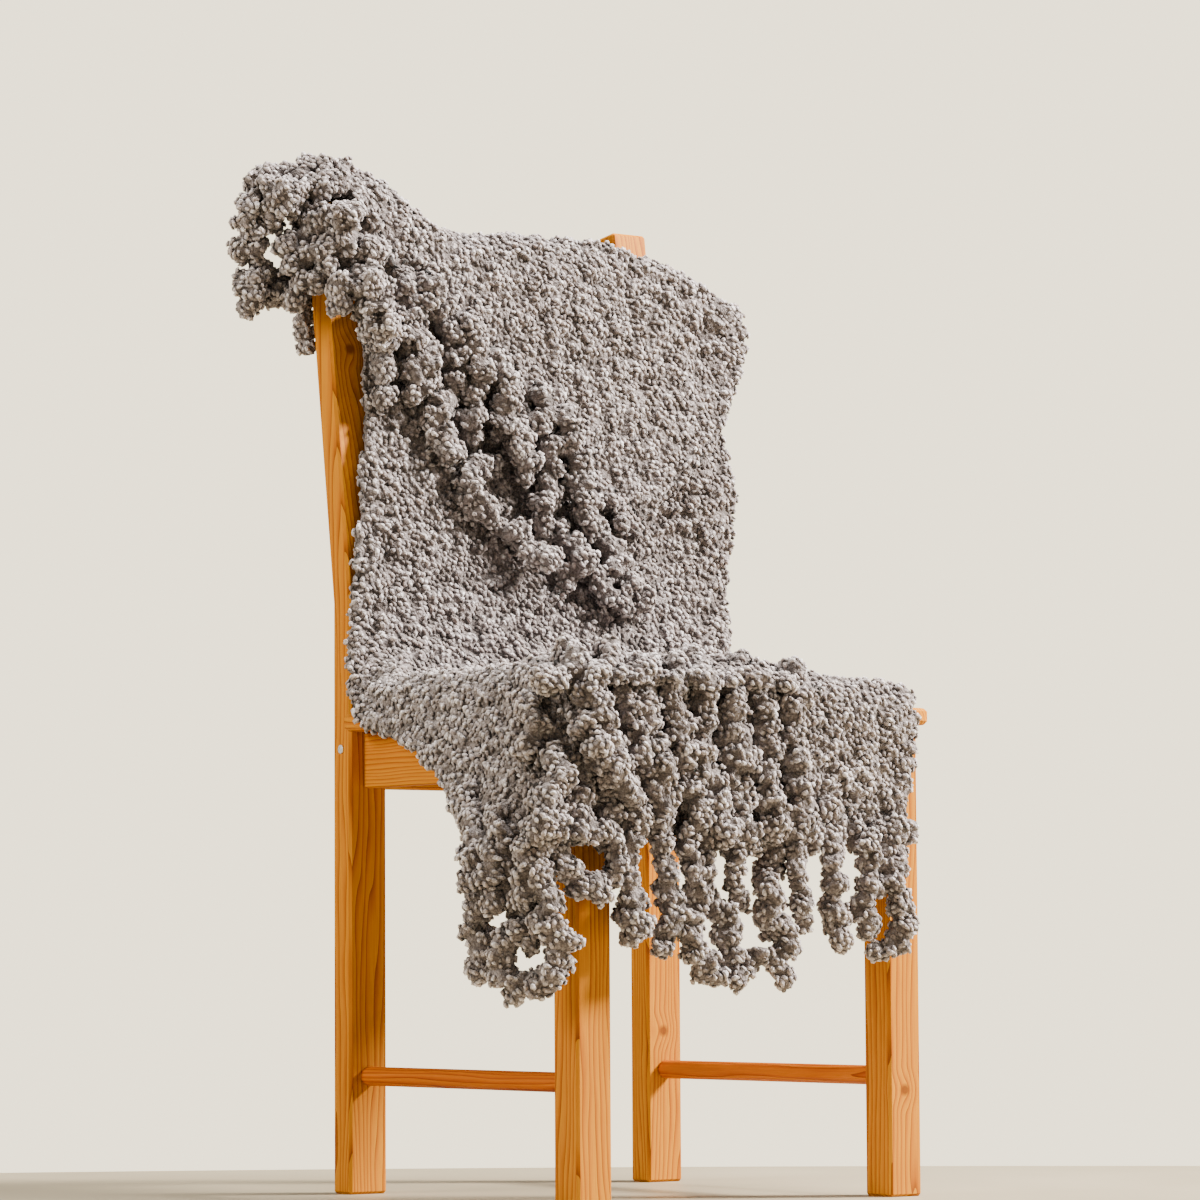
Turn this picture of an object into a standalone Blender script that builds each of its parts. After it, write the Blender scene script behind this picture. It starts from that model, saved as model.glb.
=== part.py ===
"""A chunky crochet blanket thrown over a plain wooden chair.

The blanket runs from its fringed front end, up over the front edge of the seat, along the seat, up the front
of the chair back and over the top rail.  There it is doubled: a short fold hangs behind the rail, and the other
end comes forward again as a slanting flap whose fringe lies across the chair back.

The chair stands in its own frame while it is worked out: X to the right across the chair, Y to the rear with
Y = 0 on the rear faces of the back posts, Z up from the floor.  One empty moves everything to the part's origin.
"""

import math

import bmesh
import bpy
import numpy as np
from mathutils import Matrix, Vector

# Chair
CHAIR_WIDTH = 0.390
CHAIR_HEIGHT = 0.955
POST_WIDTH, POST_DEPTH = 0.0415, 0.030
BEND_HEIGHT = 0.561
RAKE = 0.132
LEG_SIDE = 0.0375
LEG_CENTRE_Y = -0.384
SEAT_TOP = 0.452
SEAT_THICKNESS = 0.015
SEAT_HALF_WIDTH = 0.213
SEAT_FRONT_Y = -0.412
SEAT_CORNER = 0.025
APRON_HEIGHT, APRON_THICKNESS = 0.053, 0.018
APRON_INSET = 0.0155
RUNG_HEIGHT, RUNG_DIAMETER = 0.111, 0.018
TOP_RAIL_TOP, TOP_RAIL_HEIGHT = 0.902, 0.070
LOW_RAIL_TOP, LOW_RAIL_HEIGHT = 0.700, 0.060
RAIL_THICKNESS = 0.018
BOLT_HEIGHT, BOLT_DIAMETER, BOLT_HEAD = 0.421, 0.0085, 0.0012
BOLT_SOCKET, BOLT_SOCKET_DEPTH = 0.0042, 0.0008
EDGE_ROUND = 0.0025
SEAM = 0.0003

# Blanket
THICKNESS = 0.012
LAYER_STEP = 0.018
SEAT_CLEARANCE = 0.0007
EDGE_CLEARANCE = 0.003
OVERHANG = 0.012
BACK_CLEARANCE = 0.002
STRAND = 0.025
STRIP_WIDTH, STRIP_THICKNESS = 0.012, 0.011
STRAND_LIFT = 0.004
STRIP_GAP = 0.0035
WOBBLE = 0.001
COLUMNS = 24

HALF = CHAIR_WIDTH / 2
POST_INNER = HALF - POST_WIDTH
SEAT_BOTTOM = SEAT_TOP - SEAT_THICKNESS
DROP_Y = SEAT_FRONT_Y - EDGE_CLEARANCE - THICKNESS / 2
SIDE_X = -SEAT_HALF_WIDTH - EDGE_CLEARANCE - THICKNESS / 2
SEAT_LOW = SEAT_TOP + SEAT_CLEARANCE + THICKNESS / 2

# Middle of the whole part's box in the chair's frame, which becomes the part's origin
ORIGIN_X, ORIGIN_Y = 0.0046, -0.1829
ORIGIN_NAME = "part_origin"

# The front hem as it lies flat on the seat's unfolded plane: run = distance behind the bend at the seat's front
FRONT_HEM = (
    # place across the cloth, across, run
    (0.00, -0.385, 0.050),
    (0.10, -0.368, -0.030),
    (0.20, -0.325, -0.093),
    (0.30, -0.262, -0.128),
    (0.40, -0.190, -0.139),
    (0.60, -0.070, -0.130),
    (0.80, 0.050, -0.131),
    (1.00, 0.166, -0.136),
)
# Where the seat part ends and the cloth begins to climb the chair back
SEAT_RUN = 0.270
SEAT_LEFT, SEAT_RIGHT = -0.262, 0.222
SIDE_HOLLOW = 0.026
# The same edges on the front of the chair back, by height
BACK_EDGES = (
    # height, left, right
    (0.480, -0.228, 0.236),
    (0.520, -0.212, 0.241),
    (0.580, -0.197, 0.250),
    (0.640, -0.187, 0.262),
    (0.700, -0.178, 0.268),
    (0.760, -0.171, 0.262),
    (0.820, -0.168, 0.262),
    (0.860, -0.166, 0.285),
    (0.950, -0.164, 0.300),
)
# The fold along the top: the height where the cloth leaves the front of the back, and the half depth of its turn
CREST = (
    # across, turn starts at, half depth, rise
    (-0.180, 0.947, 0.0260, 0.018),
    (-0.140, 0.947, 0.0260, 0.018),
    (-0.114, 0.927, 0.0245, 0.019),
    (-0.090, 0.909, 0.0225, 0.020),
    (-0.060, 0.896, 0.0225, 0.020),
    (0.030, 0.898, 0.0225, 0.020),
    (0.100, 0.900, 0.0225, 0.020),
    (0.145, 0.908, 0.0220, 0.020),
    (0.185, 0.903, 0.0220, 0.020),
    (0.245, 0.885, 0.0220, 0.020),
    (0.278, 0.868, 0.0220, 0.020),
    (0.293, 0.856, 0.0220, 0.020),
)
# How high the cloth stands over the seat's front edge and left edge, because it is too thick to bend sharply
FRONT_RISE = (
    # across, rise
    (-0.230, 0.022),
    (-0.100, 0.029),
    (0.000, 0.030),
    (0.050, 0.021),
    (0.110, 0.015),
    (0.160, 0.013),
    (0.200, 0.008),
)
LEFT_RISE, LEFT_RISE_WIDTH = 0.028, 0.060
FRONT_RISE_WIDTH = 0.070
# The fringed hem of the flap on the chair back
FLAP_HEM_LEFT = (-0.163, 0.930)
FLAP_HEM_RIGHT = (0.140, 0.648)
FLAP_BULGE = 0.032
# Length of the doubled cloth beyond the crest's front line
FOLD_LEAST, FOLD_SLOPE, FOLD_END_X = 0.004, 0.30, 0.155

# Soft swells and hollows of the hanging cloth on the chair back; forward is positive
SWELLS = (
    # across, height, half width, half height, forward
    (0.235, 0.690, 0.040, 0.045, 0.016),
    (0.238, 0.840, 0.022, 0.040, -0.010),
    (-0.120, 0.640, 0.060, 0.090, 0.006),
    (0.050, 0.560, 0.120, 0.050, 0.008),
    (0.080, 0.870, 0.060, 0.040, 0.004),
)

# Strands of the front end's lower row, by the distance along its hem from the left corner
LOWER_LOOPS = (
    # first leg, second leg, length
    (0.016, 0.016, 0.114),
    (0.049, 0.097, 0.124),
    (0.136, 0.172, 0.082),
    (0.200, 0.200, 0.114),
    (0.234, 0.234, 0.146),
    (0.266, 0.303, 0.156),
    (0.334, 0.373, 0.158),
    (0.403, 0.403, 0.100),
    (0.432, 0.465, 0.104),
    (0.494, 0.494, 0.126),
)
# Strands of the upper row, by the distance along the bend over the seat's front edge from its left end
UPPER_LOOPS = (
    # first leg, second leg, length
    (0.016, 0.016, 0.108),
    (0.048, 0.048, 0.128),
    (0.091, 0.129, 0.162),
    (0.162, 0.162, 0.150),
    (0.196, 0.196, 0.124),
    (0.229, 0.229, 0.140),
    (0.260, 0.300, 0.150),
)
UPPER_ROW_LEFT, UPPER_ROW_RIGHT, UPPER_ROW_DROP = 80.0, 0.060, 0.036
UPPER_ROW_OFFSET, LOWER_ROW_INSET = 0.0245, 0.003
CORNER_END = 0.150
# Strands of the flap, by their place along its slanting hem from left to right
FLAP_LOOPS = (
    # first leg, second leg, length
    (0.050, 0.050, 0.090),
    (0.141, 0.141, 0.115),
    (0.232, 0.232, 0.150),
    (0.323, 0.323, 0.110),
    (0.414, 0.510, 0.135),
    (0.603, 0.603, 0.150),
    (0.694, 0.694, 0.122),
    (0.785, 0.880, 0.112),
    (0.972, 0.972, 0.080),
)
# Strands that spill over the top of the left post: place around the crest from front to rear, reach to the left
POST_LOOPS = (
    # place, reach, end height, rearward drift
    (0.02, 0.023, 0.845, -0.007),
    (0.30, 0.055, 0.852, -0.006),
    (0.56, 0.092, 0.848, -0.004),
    (0.80, 0.066, 0.885, 0.006),
    (1.00, 0.014, 0.812, 0.006),
)

POST_STRAND, SHORT_REACH = 0.0235, 0.030
HANG_SWING = 0.020


def clear_scene():
    for thing in list(bpy.data.objects):
        bpy.data.objects.remove(thing, do_unlink=True)


def material(name, red, green, blue, roughness, metallic=0.0):
    made = bpy.data.materials.new(name)
    made.use_nodes = True
    shader = made.node_tree.nodes["Principled BSDF"]
    shader.inputs["Base Color"].default_value = (red, green, blue, 1.0)
    shader.inputs["Roughness"].default_value = roughness
    shader.inputs["Metallic"].default_value = metallic
    return made


def curve_through(rows, column, at):
    """A smooth curve through one column of a table, held level past its ends."""
    xs = np.array([row[0] for row in rows])
    ys = np.array([row[column] for row in rows])
    at = np.clip(at, xs[0], xs[-1])
    slopes = np.gradient(ys, xs)
    place = int(np.clip(np.searchsorted(xs, at) - 1, 0, len(xs) - 2))
    span = xs[place + 1] - xs[place]
    part = (at - xs[place]) / span
    start, end = ys[place], ys[place + 1]
    rise_in, rise_out = slopes[place] * span, slopes[place + 1] * span
    return float(
        start * (2 * part**3 - 3 * part**2 + 1)
        + rise_in * (part**3 - 2 * part**2 + part)
        + end * (3 * part**2 - 2 * part**3)
        + rise_out * (part**3 - part**2)
    )


def rake(height):
    """How far the chair back leans to the rear at a height."""
    return max(0.0, height - BEND_HEIGHT) * RAKE


def add_piece(name, mesh_maker, finish, smooth=False):
    """One named object from a function that fills a bmesh."""
    work = bmesh.new()
    mesh_maker(work)
    bmesh.ops.recalc_face_normals(work, faces=work.faces)
    mesh = bpy.data.meshes.new(name)
    work.to_mesh(mesh)
    work.free()
    if smooth:
        mesh.shade_smooth()
    thing = bpy.data.objects.new(name, mesh)
    bpy.context.scene.collection.objects.link(thing)
    thing.data.materials.append(finish)
    thing.parent = bpy.data.objects[ORIGIN_NAME]
    return thing


def round_edges(thing, width=EDGE_ROUND, segments=1):
    bevel = thing.modifiers.new("rounded edges", "BEVEL")
    bevel.width = width
    bevel.segments = segments
    bevel.limit_method = "ANGLE"
    bevel.angle_limit = math.radians(40)


def block(low, high):
    """A maker for a box between two corners."""

    def fill(work):
        middle = (Vector(low) + Vector(high)) / 2
        size = Vector(high) - Vector(low)
        place = Matrix.Translation(middle) @ Matrix.Diagonal((*size, 1.0))
        bmesh.ops.create_cube(work, size=1.0, matrix=place)

    return fill


def plate(outline, along, depth):
    """A maker for a flat outline pushed out along a direction."""

    def fill(work):
        corners = [work.verts.new(point) for point in outline]
        face = work.faces.new(corners)
        pushed = bmesh.ops.extrude_face_region(work, geom=[face])
        moved = [part for part in pushed["geom"] if isinstance(part, bmesh.types.BMVert)]
        bmesh.ops.translate(work, verts=moved, vec=Vector(along) * depth)

    return fill


def make_posts(wood):
    lean = math.atan(RAKE)
    cut = POST_DEPTH * math.sin(lean)
    rear_top = CHAIR_HEIGHT - cut
    for side, x in (("left", -HALF), ("right", HALF - POST_WIDTH)):
        outline = (
            (x, 0.0, 0.0),
            (x, -POST_DEPTH, 0.0),
            (x, -POST_DEPTH, BEND_HEIGHT),
            (x, rake(CHAIR_HEIGHT) - POST_DEPTH, CHAIR_HEIGHT),
            (x, rake(rear_top), rear_top),
            (x, 0.0, BEND_HEIGHT),
        )
        post = add_piece(f"post_{side}", plate(outline, (1, 0, 0), POST_WIDTH), wood)
        round_edges(post)


def make_legs(wood):
    half = LEG_SIDE / 2
    for side, outer in (("left", -HALF), ("right", HALF)):
        inner = outer + math.copysign(LEG_SIDE, -outer)
        low = (min(outer, inner), LEG_CENTRE_Y - half, 0.0)
        high = (max(outer, inner), LEG_CENTRE_Y + half, SEAT_BOTTOM - SEAM)
        round_edges(add_piece(f"leg_{side}", block(low, high), wood))


def make_seat(wood):
    def fill(work):
        rear = -POST_DEPTH - SEAM
        outline = []
        for cx, cy, start in (
            (SEAT_HALF_WIDTH - SEAT_CORNER, rear - SEAT_CORNER, 0.0),
            (-SEAT_HALF_WIDTH + SEAT_CORNER, rear - SEAT_CORNER, 90.0),
            (-SEAT_HALF_WIDTH + SEAT_CORNER, SEAT_FRONT_Y + SEAT_CORNER, 180.0),
            (SEAT_HALF_WIDTH - SEAT_CORNER, SEAT_FRONT_Y + SEAT_CORNER, 270.0),
        ):
            for turn in range(5):
                angle = math.radians(start + 22.5 * turn)
                outline.append((cx + SEAT_CORNER * math.cos(angle), cy + SEAT_CORNER * math.sin(angle), SEAT_BOTTOM))
        plate(outline, (0, 0, 1), SEAT_THICKNESS)(work)

    round_edges(add_piece("seat", fill, wood), 0.003)


def make_aprons(wood):
    top = SEAT_BOTTOM - SEAM
    bottom = top - APRON_HEIGHT
    leg_rear = LEG_CENTRE_Y + LEG_SIDE / 2 + SEAM
    outer = HALF - APRON_INSET
    inner = outer - APRON_THICKNESS
    front = LEG_CENTRE_Y - APRON_THICKNESS / 2
    rear = -POST_DEPTH / 2 - APRON_THICKNESS / 2
    between_legs = HALF - LEG_SIDE - SEAM
    between_posts = POST_INNER - SEAM
    for name, low, high in (
        ("apron_left", (-outer, leg_rear, bottom), (-inner, -POST_DEPTH - SEAM, top)),
        ("apron_right", (inner, leg_rear, bottom), (outer, -POST_DEPTH - SEAM, top)),
        ("apron_front", (-between_legs, front, bottom), (between_legs, front + APRON_THICKNESS, top)),
        ("apron_rear", (-between_posts, rear, bottom), (between_posts, rear + APRON_THICKNESS, top)),
    ):
        round_edges(add_piece(name, block(low, high), wood), 0.0015)


def make_rungs(wood):
    start = -POST_DEPTH - SEAM
    end = LEG_CENTRE_Y + LEG_SIDE / 2 + SEAM
    centre = HALF - POST_WIDTH / 2
    for side, x in (("left", -centre), ("right", centre)):

        def fill(work, x=x):
            place = Matrix.Translation((x, (start + end) / 2, RUNG_HEIGHT)) @ Matrix.Rotation(math.radians(90), 4, "X")
            bmesh.ops.create_cone(
                work,
                cap_ends=True,
                segments=16,
                radius1=RUNG_DIAMETER / 2,
                radius2=RUNG_DIAMETER / 2,
                depth=start - end,
                matrix=place,
            )

        rung = add_piece(f"rung_{side}", fill, wood)
        rung.data.shade_smooth()
        rung.data.set_sharp_from_angle(angle=math.radians(50))


def make_back_rails(wood):
    span = POST_INNER - SEAM
    lean = math.atan(RAKE)
    for name, top, height in (
        ("rail_top", TOP_RAIL_TOP, TOP_RAIL_HEIGHT),
        ("rail_low", LOW_RAIL_TOP, LOW_RAIL_HEIGHT),
    ):
        middle = top - height / 2
        low = (-span, -RAIL_THICKNESS / 2, -height / 2)
        high = (span, RAIL_THICKNESS / 2, height / 2)
        rail = add_piece(name, block(low, high), wood)
        rail.location = (0.0, rake(middle) - POST_DEPTH / 2, middle)
        rail.rotation_euler = (-lean, 0.0, 0.0)
        round_edges(rail, 0.003)


def make_bolts(steel):
    """Barrel screw heads on the outer faces of the back posts, each with its hexagonal socket."""
    for side, sign in (("left", -1), ("right", 1)):

        def fill(work, sign=sign):
            face = sign * (HALF + SEAM)
            turn = Matrix.Rotation(math.radians(90 * sign), 4, "Y")
            rim = bmesh.ops.create_circle(work, cap_ends=True, segments=24, radius=BOLT_DIAMETER / 2)
            bmesh.ops.rotate(work, verts=rim["verts"], cent=(0, 0, 0), matrix=turn)
            face_in = work.faces[:]
            out = bmesh.ops.extrude_face_region(work, geom=face_in)
            moved = [part for part in out["geom"] if isinstance(part, bmesh.types.BMVert)]
            bmesh.ops.translate(work, verts=moved, vec=(sign * BOLT_HEAD, 0, 0))
            top = max(work.faces, key=lambda one: sign * one.calc_center_median().x)
            bmesh.ops.inset_region(work, faces=[top], thickness=(BOLT_DIAMETER - BOLT_SOCKET) / 2)
            bmesh.ops.translate(work, verts=top.verts[:], vec=(-sign * BOLT_SOCKET_DEPTH, 0, 0))
            place = Vector((face, -POST_DEPTH / 2, BOLT_HEIGHT))
            bmesh.ops.translate(work, verts=work.verts, vec=place)

        add_piece(f"bolt_{side}", fill, steel)


# The lie of the blanket


def seat_height(across, run):
    """The middle of the cloth over the seat, before it bends down at an edge."""
    low = SEAT_LOW
    front = curve_through(FRONT_RISE, 1, across) * math.exp(-((max(run, 0.0) / FRONT_RISE_WIDTH) ** 2))
    side = LEFT_RISE * math.exp(-(((across - SIDE_X) / LEFT_RISE_WIDTH) ** 2)) if across > SIDE_X else LEFT_RISE
    hang = 0.25 * max(0.0, across - SEAT_HALF_WIDTH - OVERHANG)
    return low + math.hypot(front, side) - hang


def seat_point(across, run):
    """A point of the blanket's middle surface on and around the seat.

    across and run are flat distances; past the left edge or the front edge the cloth bends down, and at the
    front left corner it hangs as one flared fold."""
    rise = seat_height(max(across, SIDE_X), max(run, 0.0)) - SEAT_LOW
    radius = 0.012 + 0.55 * rise
    edge_x = SIDE_X + radius
    edge_y = DROP_Y + radius
    left = max(0.0, edge_x - across)
    front = max(0.0, -run)
    beyond = math.hypot(left, front)
    base = Vector((max(across, edge_x), edge_y + max(run, 0.0), seat_height(max(across, edge_x), max(run, 0.0))))
    if beyond < 1e-9:
        return base
    quarter = radius * math.pi / 2
    if beyond < quarter:
        out = radius * math.sin(beyond / radius)
        down = radius * (1 - math.cos(beyond / radius))
    else:
        share = left / beyond
        flare = 0.03 + 0.30 * share
        out = radius + flare * (beyond - quarter)
        down = radius + math.sqrt(1 - flare**2) * (beyond - quarter)
    return base + Vector((-left / beyond * out, -front / beyond * out, -down))


def seat_edge_x(run):
    """Where the cloth over the seat starts to bend down at the left."""
    return SIDE_X + 0.012 + 0.55 * (seat_height(SIDE_X, run) - SEAT_LOW)


def seat_outward(across, run, step=0.002):
    """The unit normal of that surface, pointing away from the chair."""
    along = seat_point(across, run + step) - seat_point(across, run - step)
    over = seat_point(across + step, run) - seat_point(across - step, run)
    normal = over.cross(along)
    return normal.normalized()


def swell(across, height):
    total = 0.0
    for x, z, half_x, half_z, forward in SWELLS:
        total += forward * math.exp(-(((across - x) / half_x) ** 2) - ((height - z) / half_z) ** 2)
    return total


def back_y(across, height):
    """The middle of the lower layer on the front of the chair back."""
    flat = rake(height) - POST_DEPTH - BACK_CLEARANCE - THICKNESS / 2
    return flat - swell(across, height)


def fold_length(across):
    reach = FOLD_END_X - across
    eased = 0.5 * (reach + math.hypot(reach, 0.030))
    return FOLD_LEAST + FOLD_SLOPE * max(0.0, eased - 0.001)


def crest_guide(across):
    """The inner layer's line over the crest as dense points (y, z), from its front line to well down behind."""
    start = curve_through(CREST, 1, across)
    depth = curve_through(CREST, 2, across)
    height = curve_through(CREST, 3, across)
    power = 2.0 / 2.6
    front = back_y(across, start)
    points = []
    for step in range(33):
        angle = math.pi * (1 - step / 32)
        c, s = math.cos(angle), math.sin(angle)
        y = front + depth + depth * math.copysign(abs(c) ** power, c)
        points.append((y, start + height * abs(s) ** power))
    last = points[-1]
    for step in range(1, 61):
        points.append((last[0] - RAKE * 0.005 * step + 0.0006 * step, last[1] - 0.005 * step))
    return np.array(points)


class Line:
    """A polyline that can be read at any length, with its outward normal."""

    def __init__(self, points):
        self.points = np.asarray(points, float)
        steps = np.linalg.norm(np.diff(self.points, axis=0), axis=1)
        self.lengths = np.concatenate([[0.0], np.cumsum(steps)])

    def at(self, length):
        return np.array([np.interp(length, self.lengths, self.points[:, k]) for k in range(self.points.shape[1])])

    def tangent(self, length, reach=0.003):
        ahead = self.at(min(length + reach, self.lengths[-1]))
        behind = self.at(max(length - reach, 0.0))
        way = ahead - behind
        return way / np.linalg.norm(way)


def bezier(a, b, c, count):
    return [((1 - t) ** 2) * a + 2 * t * (1 - t) * b + t * t * c for t in np.linspace(0, 1, count)]


def crest_across(u):
    left, right = BACK_EDGES[-1][1], CREST[-1][0]
    return left + (right - left) * u


def between_edges(rows, at, u):
    left = curve_through(rows, 1, at)
    right = curve_through(rows, 2, at)
    return left + (right - left) * u


def front_hem(u, beyond=0.0):
    """The flat place (across, run) of the front hem, or of a line a little beyond it."""
    across = curve_through(FRONT_HEM, 1, u)
    run = curve_through(FRONT_HEM, 2, u)
    if beyond:
        ahead, behind = min(u + 0.02, 1.0), max(u - 0.02, 0.0)
        way_x = curve_through(FRONT_HEM, 1, ahead) - curve_through(FRONT_HEM, 1, behind)
        way_y = curve_through(FRONT_HEM, 2, ahead) - curve_through(FRONT_HEM, 2, behind)
        size = math.hypot(way_x, way_y)
        across += beyond * way_y / size
        run -= beyond * way_x / size
    return across, run


def lower_layer(u):
    """One line of the blanket from its front hem to where it turns over the crest."""
    points = []
    hem_x, hem_run = front_hem(u)
    seat_x = SEAT_LEFT + (SEAT_RIGHT - SEAT_LEFT) * u
    for part in np.linspace(0.0, 1.0, 60):
        across = hem_x + (seat_x - hem_x) * part + SIDE_HOLLOW * (1 - u) ** 4 * math.sin(math.pi * part)
        run = hem_run + (SEAT_RUN - hem_run) * part
        points.append(np.array(seat_point(across, run)))
    foot = points[-1]
    crest_x = crest_across(u)
    turn = curve_through(CREST, 1, crest_x)
    knee_height = 0.600
    knee_x = between_edges(BACK_EDGES, knee_height, u)
    knee = np.array((knee_x, back_y(knee_x, knee_height), knee_height))
    corner_x = between_edges(BACK_EDGES, 0.480, u)
    corner = np.array((corner_x, -0.052, foot[2] + 0.004))
    points += bezier(foot, corner, knee, 24)[1:]
    for height in np.linspace(knee_height, turn, 50)[1:]:
        edge_x = between_edges(BACK_EDGES, height, u)
        near_top = max(0.0, (height - 0.80) / (turn - 0.80))
        across = edge_x + (crest_x - edge_x) * near_top**2
        points.append(np.array((across, back_y(across, height), height)))
    return points, crest_x, turn


def fold_over(crest_x):
    """The doubled cloth at the crest: out along the guide, round the bight and back on the outside."""
    guide = Line(crest_guide(crest_x))
    far = fold_length(crest_x)

    def outside(length):
        way = guide.tangent(length)
        return np.array((-way[1], way[0]))

    inner = [guide.at(length) for length in np.linspace(0.0, far, 40)]
    end = guide.at(far)
    way, normal = guide.tangent(far), outside(far)
    centre = end + normal * LAYER_STEP / 2
    bight = []
    for step in range(1, 16):
        angle = math.pi * step / 16
        bight.append(centre - normal * LAYER_STEP / 2 * math.cos(angle) + way * LAYER_STEP / 2 * math.sin(angle))
    outer = [guide.at(length) + outside(length) * LAYER_STEP for length in np.linspace(far, 0.0, 40)]
    return inner, bight, outer


def flap_hem(u):
    """A point (across, height) of the flap's slanting hem."""
    x = FLAP_HEM_LEFT[0] + (FLAP_HEM_RIGHT[0] - FLAP_HEM_LEFT[0]) * u
    z = FLAP_HEM_LEFT[1] + (FLAP_HEM_RIGHT[1] - FLAP_HEM_LEFT[1]) * u
    return x, z + 0.004 * math.sin(9.0 * u)


def flap_y(across, height):
    return back_y(across, height) - LAYER_STEP


def rib(u):
    """One line of the blanket along its whole length, with the distances where its bight begins and ends."""
    points, crest_x, turn = lower_layer(u)
    inner, bight, outer = fold_over(crest_x)
    points += [np.array((crest_x, y, z)) for y, z in inner[1:]]
    bight_at = len(points) + len(bight) // 2
    points += [np.array((crest_x, y, z)) for y, z in bight]
    points += [np.array((crest_x, y, z)) for y, z in outer]
    hem_x, hem_z = flap_hem(u)
    bulge = FLAP_BULGE * max(0.0, (u - 0.55) / 0.45) ** 2
    start = points[-1]
    for part in np.linspace(0.0, 1.0, 30)[1:]:
        across = crest_x + (hem_x - crest_x) * part + bulge * math.sin(math.pi * part)
        height = start[2] + (hem_z - start[2]) * part
        points.append(np.array((across, flap_y(across, height), height)))
    line = Line(points)
    return line, line.lengths[bight_at]


def row_places(line, bight):
    """Rows close together at the bight and over the crest, wider apart elsewhere."""
    near = [0.0, 0.004, 0.008, 0.012, 0.017, 0.023, 0.030, 0.038, 0.046, 0.055]
    near += [0.064, 0.073, 0.082, 0.091, 0.101, 0.112, 0.125, 0.142, 0.165]
    before = [bight - step for step in reversed(near[1:])]
    rest = np.linspace(0.0, before[0], 37)[:-1]
    total = line.lengths[-1]
    after_room = total - bight
    after = [bight + after_room * (step / near[-1]) ** 1.15 for step in near]
    return list(rest) + before + after


def make_blanket(yarn):
    ribs = [rib(u) for u in np.linspace(0.0, 1.0, COLUMNS + 1)]
    rows = [row_places(line, bight) for line, bight in ribs]
    count = len(rows[0])

    def fill(work):
        made = bmesh.ops.create_grid(work, x_segments=COLUMNS, y_segments=count - 1, size=1.0)
        for vert in made["verts"]:
            column = round((vert.co.x + 1) / 2 * COLUMNS)
            row = round((vert.co.y + 1) / 2 * (count - 1))
            vert.co = Vector(ribs[column][0].at(rows[column][row]))

    cloth = add_piece("blanket", fill, yarn, smooth=True)
    wall = cloth.modifiers.new("thickness", "SOLIDIFY")
    wall.thickness = THICKNESS
    wall.offset = 0.0
    wall.use_even_offset = False
    wall.use_quality_normals = True


# Fringe


def frames_along(path, facing):
    """A steady frame at each point of a path: its tangent, and a side kept square to the facing direction."""
    path = [Vector(point) for point in path]
    frames = []
    for place, point in enumerate(path):
        ahead = path[min(place + 1, len(path) - 1)]
        behind = path[max(place - 1, 0)]
        way = (ahead - behind).normalized()
        face = facing[place] if isinstance(facing, list) else facing
        side = way.cross(face).normalized()
        frames.append((point, side, side.cross(way).normalized()))
    return frames


def tube(work, path, facing, width, depth, taper=1.0):
    """A four-sided strand along a path, its flat sides turned to the facing direction."""
    rings = []
    frames = frames_along(path, facing)
    last = len(frames) - 1
    for place, (point, side, face) in enumerate(frames):
        size = taper if place in (0, last) else 1.0
        ring = []
        for a, b in ((-1, -1), (1, -1), (1, 1), (-1, 1)):
            ring.append(work.verts.new(point + side * a * width / 2 * size + face * b * depth / 2 * size))
        rings.append(ring)
    for one, two in zip(rings, rings[1:]):
        for k in range(4):
            work.faces.new((one[k], one[(k + 1) % 4], two[(k + 1) % 4], two[k]))
    work.faces.new(rings[0])
    work.faces.new(list(reversed(rings[-1])))


def strand_path(below, outward, first, second, length, steps=6):
    """The path of one strand and its facing: straight down with a blunt tip, or down and up again as a loop."""
    parts = np.linspace(0, 1, steps + 1)
    if first == second:
        alongs = [first + WOBBLE * math.sin(5 * part + 40 * first) for part in parts]
        path = [below(along, length * part) for along, part in zip(alongs, parts)]
        return path, [outward(first)] * len(path), STRAND
    straight = length - abs(second - first) / 2
    level = straight + below(second, 0.0).z - below(first, 0.0).z
    down = [below(first, straight * part) for part in parts]
    up = [below(second, level * part) for part in reversed(parts)]
    middle, half = (down[-1] + up[0]) / 2, (up[0] - down[-1]) / 2
    way = (down[-1] - down[-2]).normalized()
    turn = []
    for step in range(1, 6):
        angle = math.pi * step / 6
        turn.append(middle - half * math.cos(angle) + way * half.length * math.sin(angle))
    between = (outward(first) + outward(second)).normalized()
    path = down + turn + up
    return path, [between] * len(path), min(STRAND, 1.25 * half.length)


def fused(name, strip, strands, finish):
    """A backing strip with its strands joined to it at their roots."""
    backing = add_piece(name, strip, finish)
    tool = add_piece(name + "_strands", strands, finish)
    tool.hide_render = True
    tool.display_type = "WIRE"
    union = backing.modifiers.new("strands", "BOOLEAN")
    union.operation = "UNION"
    union.solver = "EXACT"
    union.use_self = True
    union.object = tool


def strip_and_strands(name, line, outward, below, loops, finish):
    """A fringe from the line of its strip, its outward side, and where a strand runs below each place on it."""

    def strip(work):
        stations = np.linspace(0.0, line.lengths[-1], 26)
        path = [line.at(along) for along in stations]
        tube(work, path, [outward(along) for along in stations], STRIP_WIDTH, STRIP_THICKNESS)

    def strands(work):
        for first, second, length in loops:
            path, facing, width = strand_path(below, outward, first, second, length)
            tube(work, path, facing, width, STRAND, 0.75)

    fused(name, strip, strands, finish)


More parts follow.
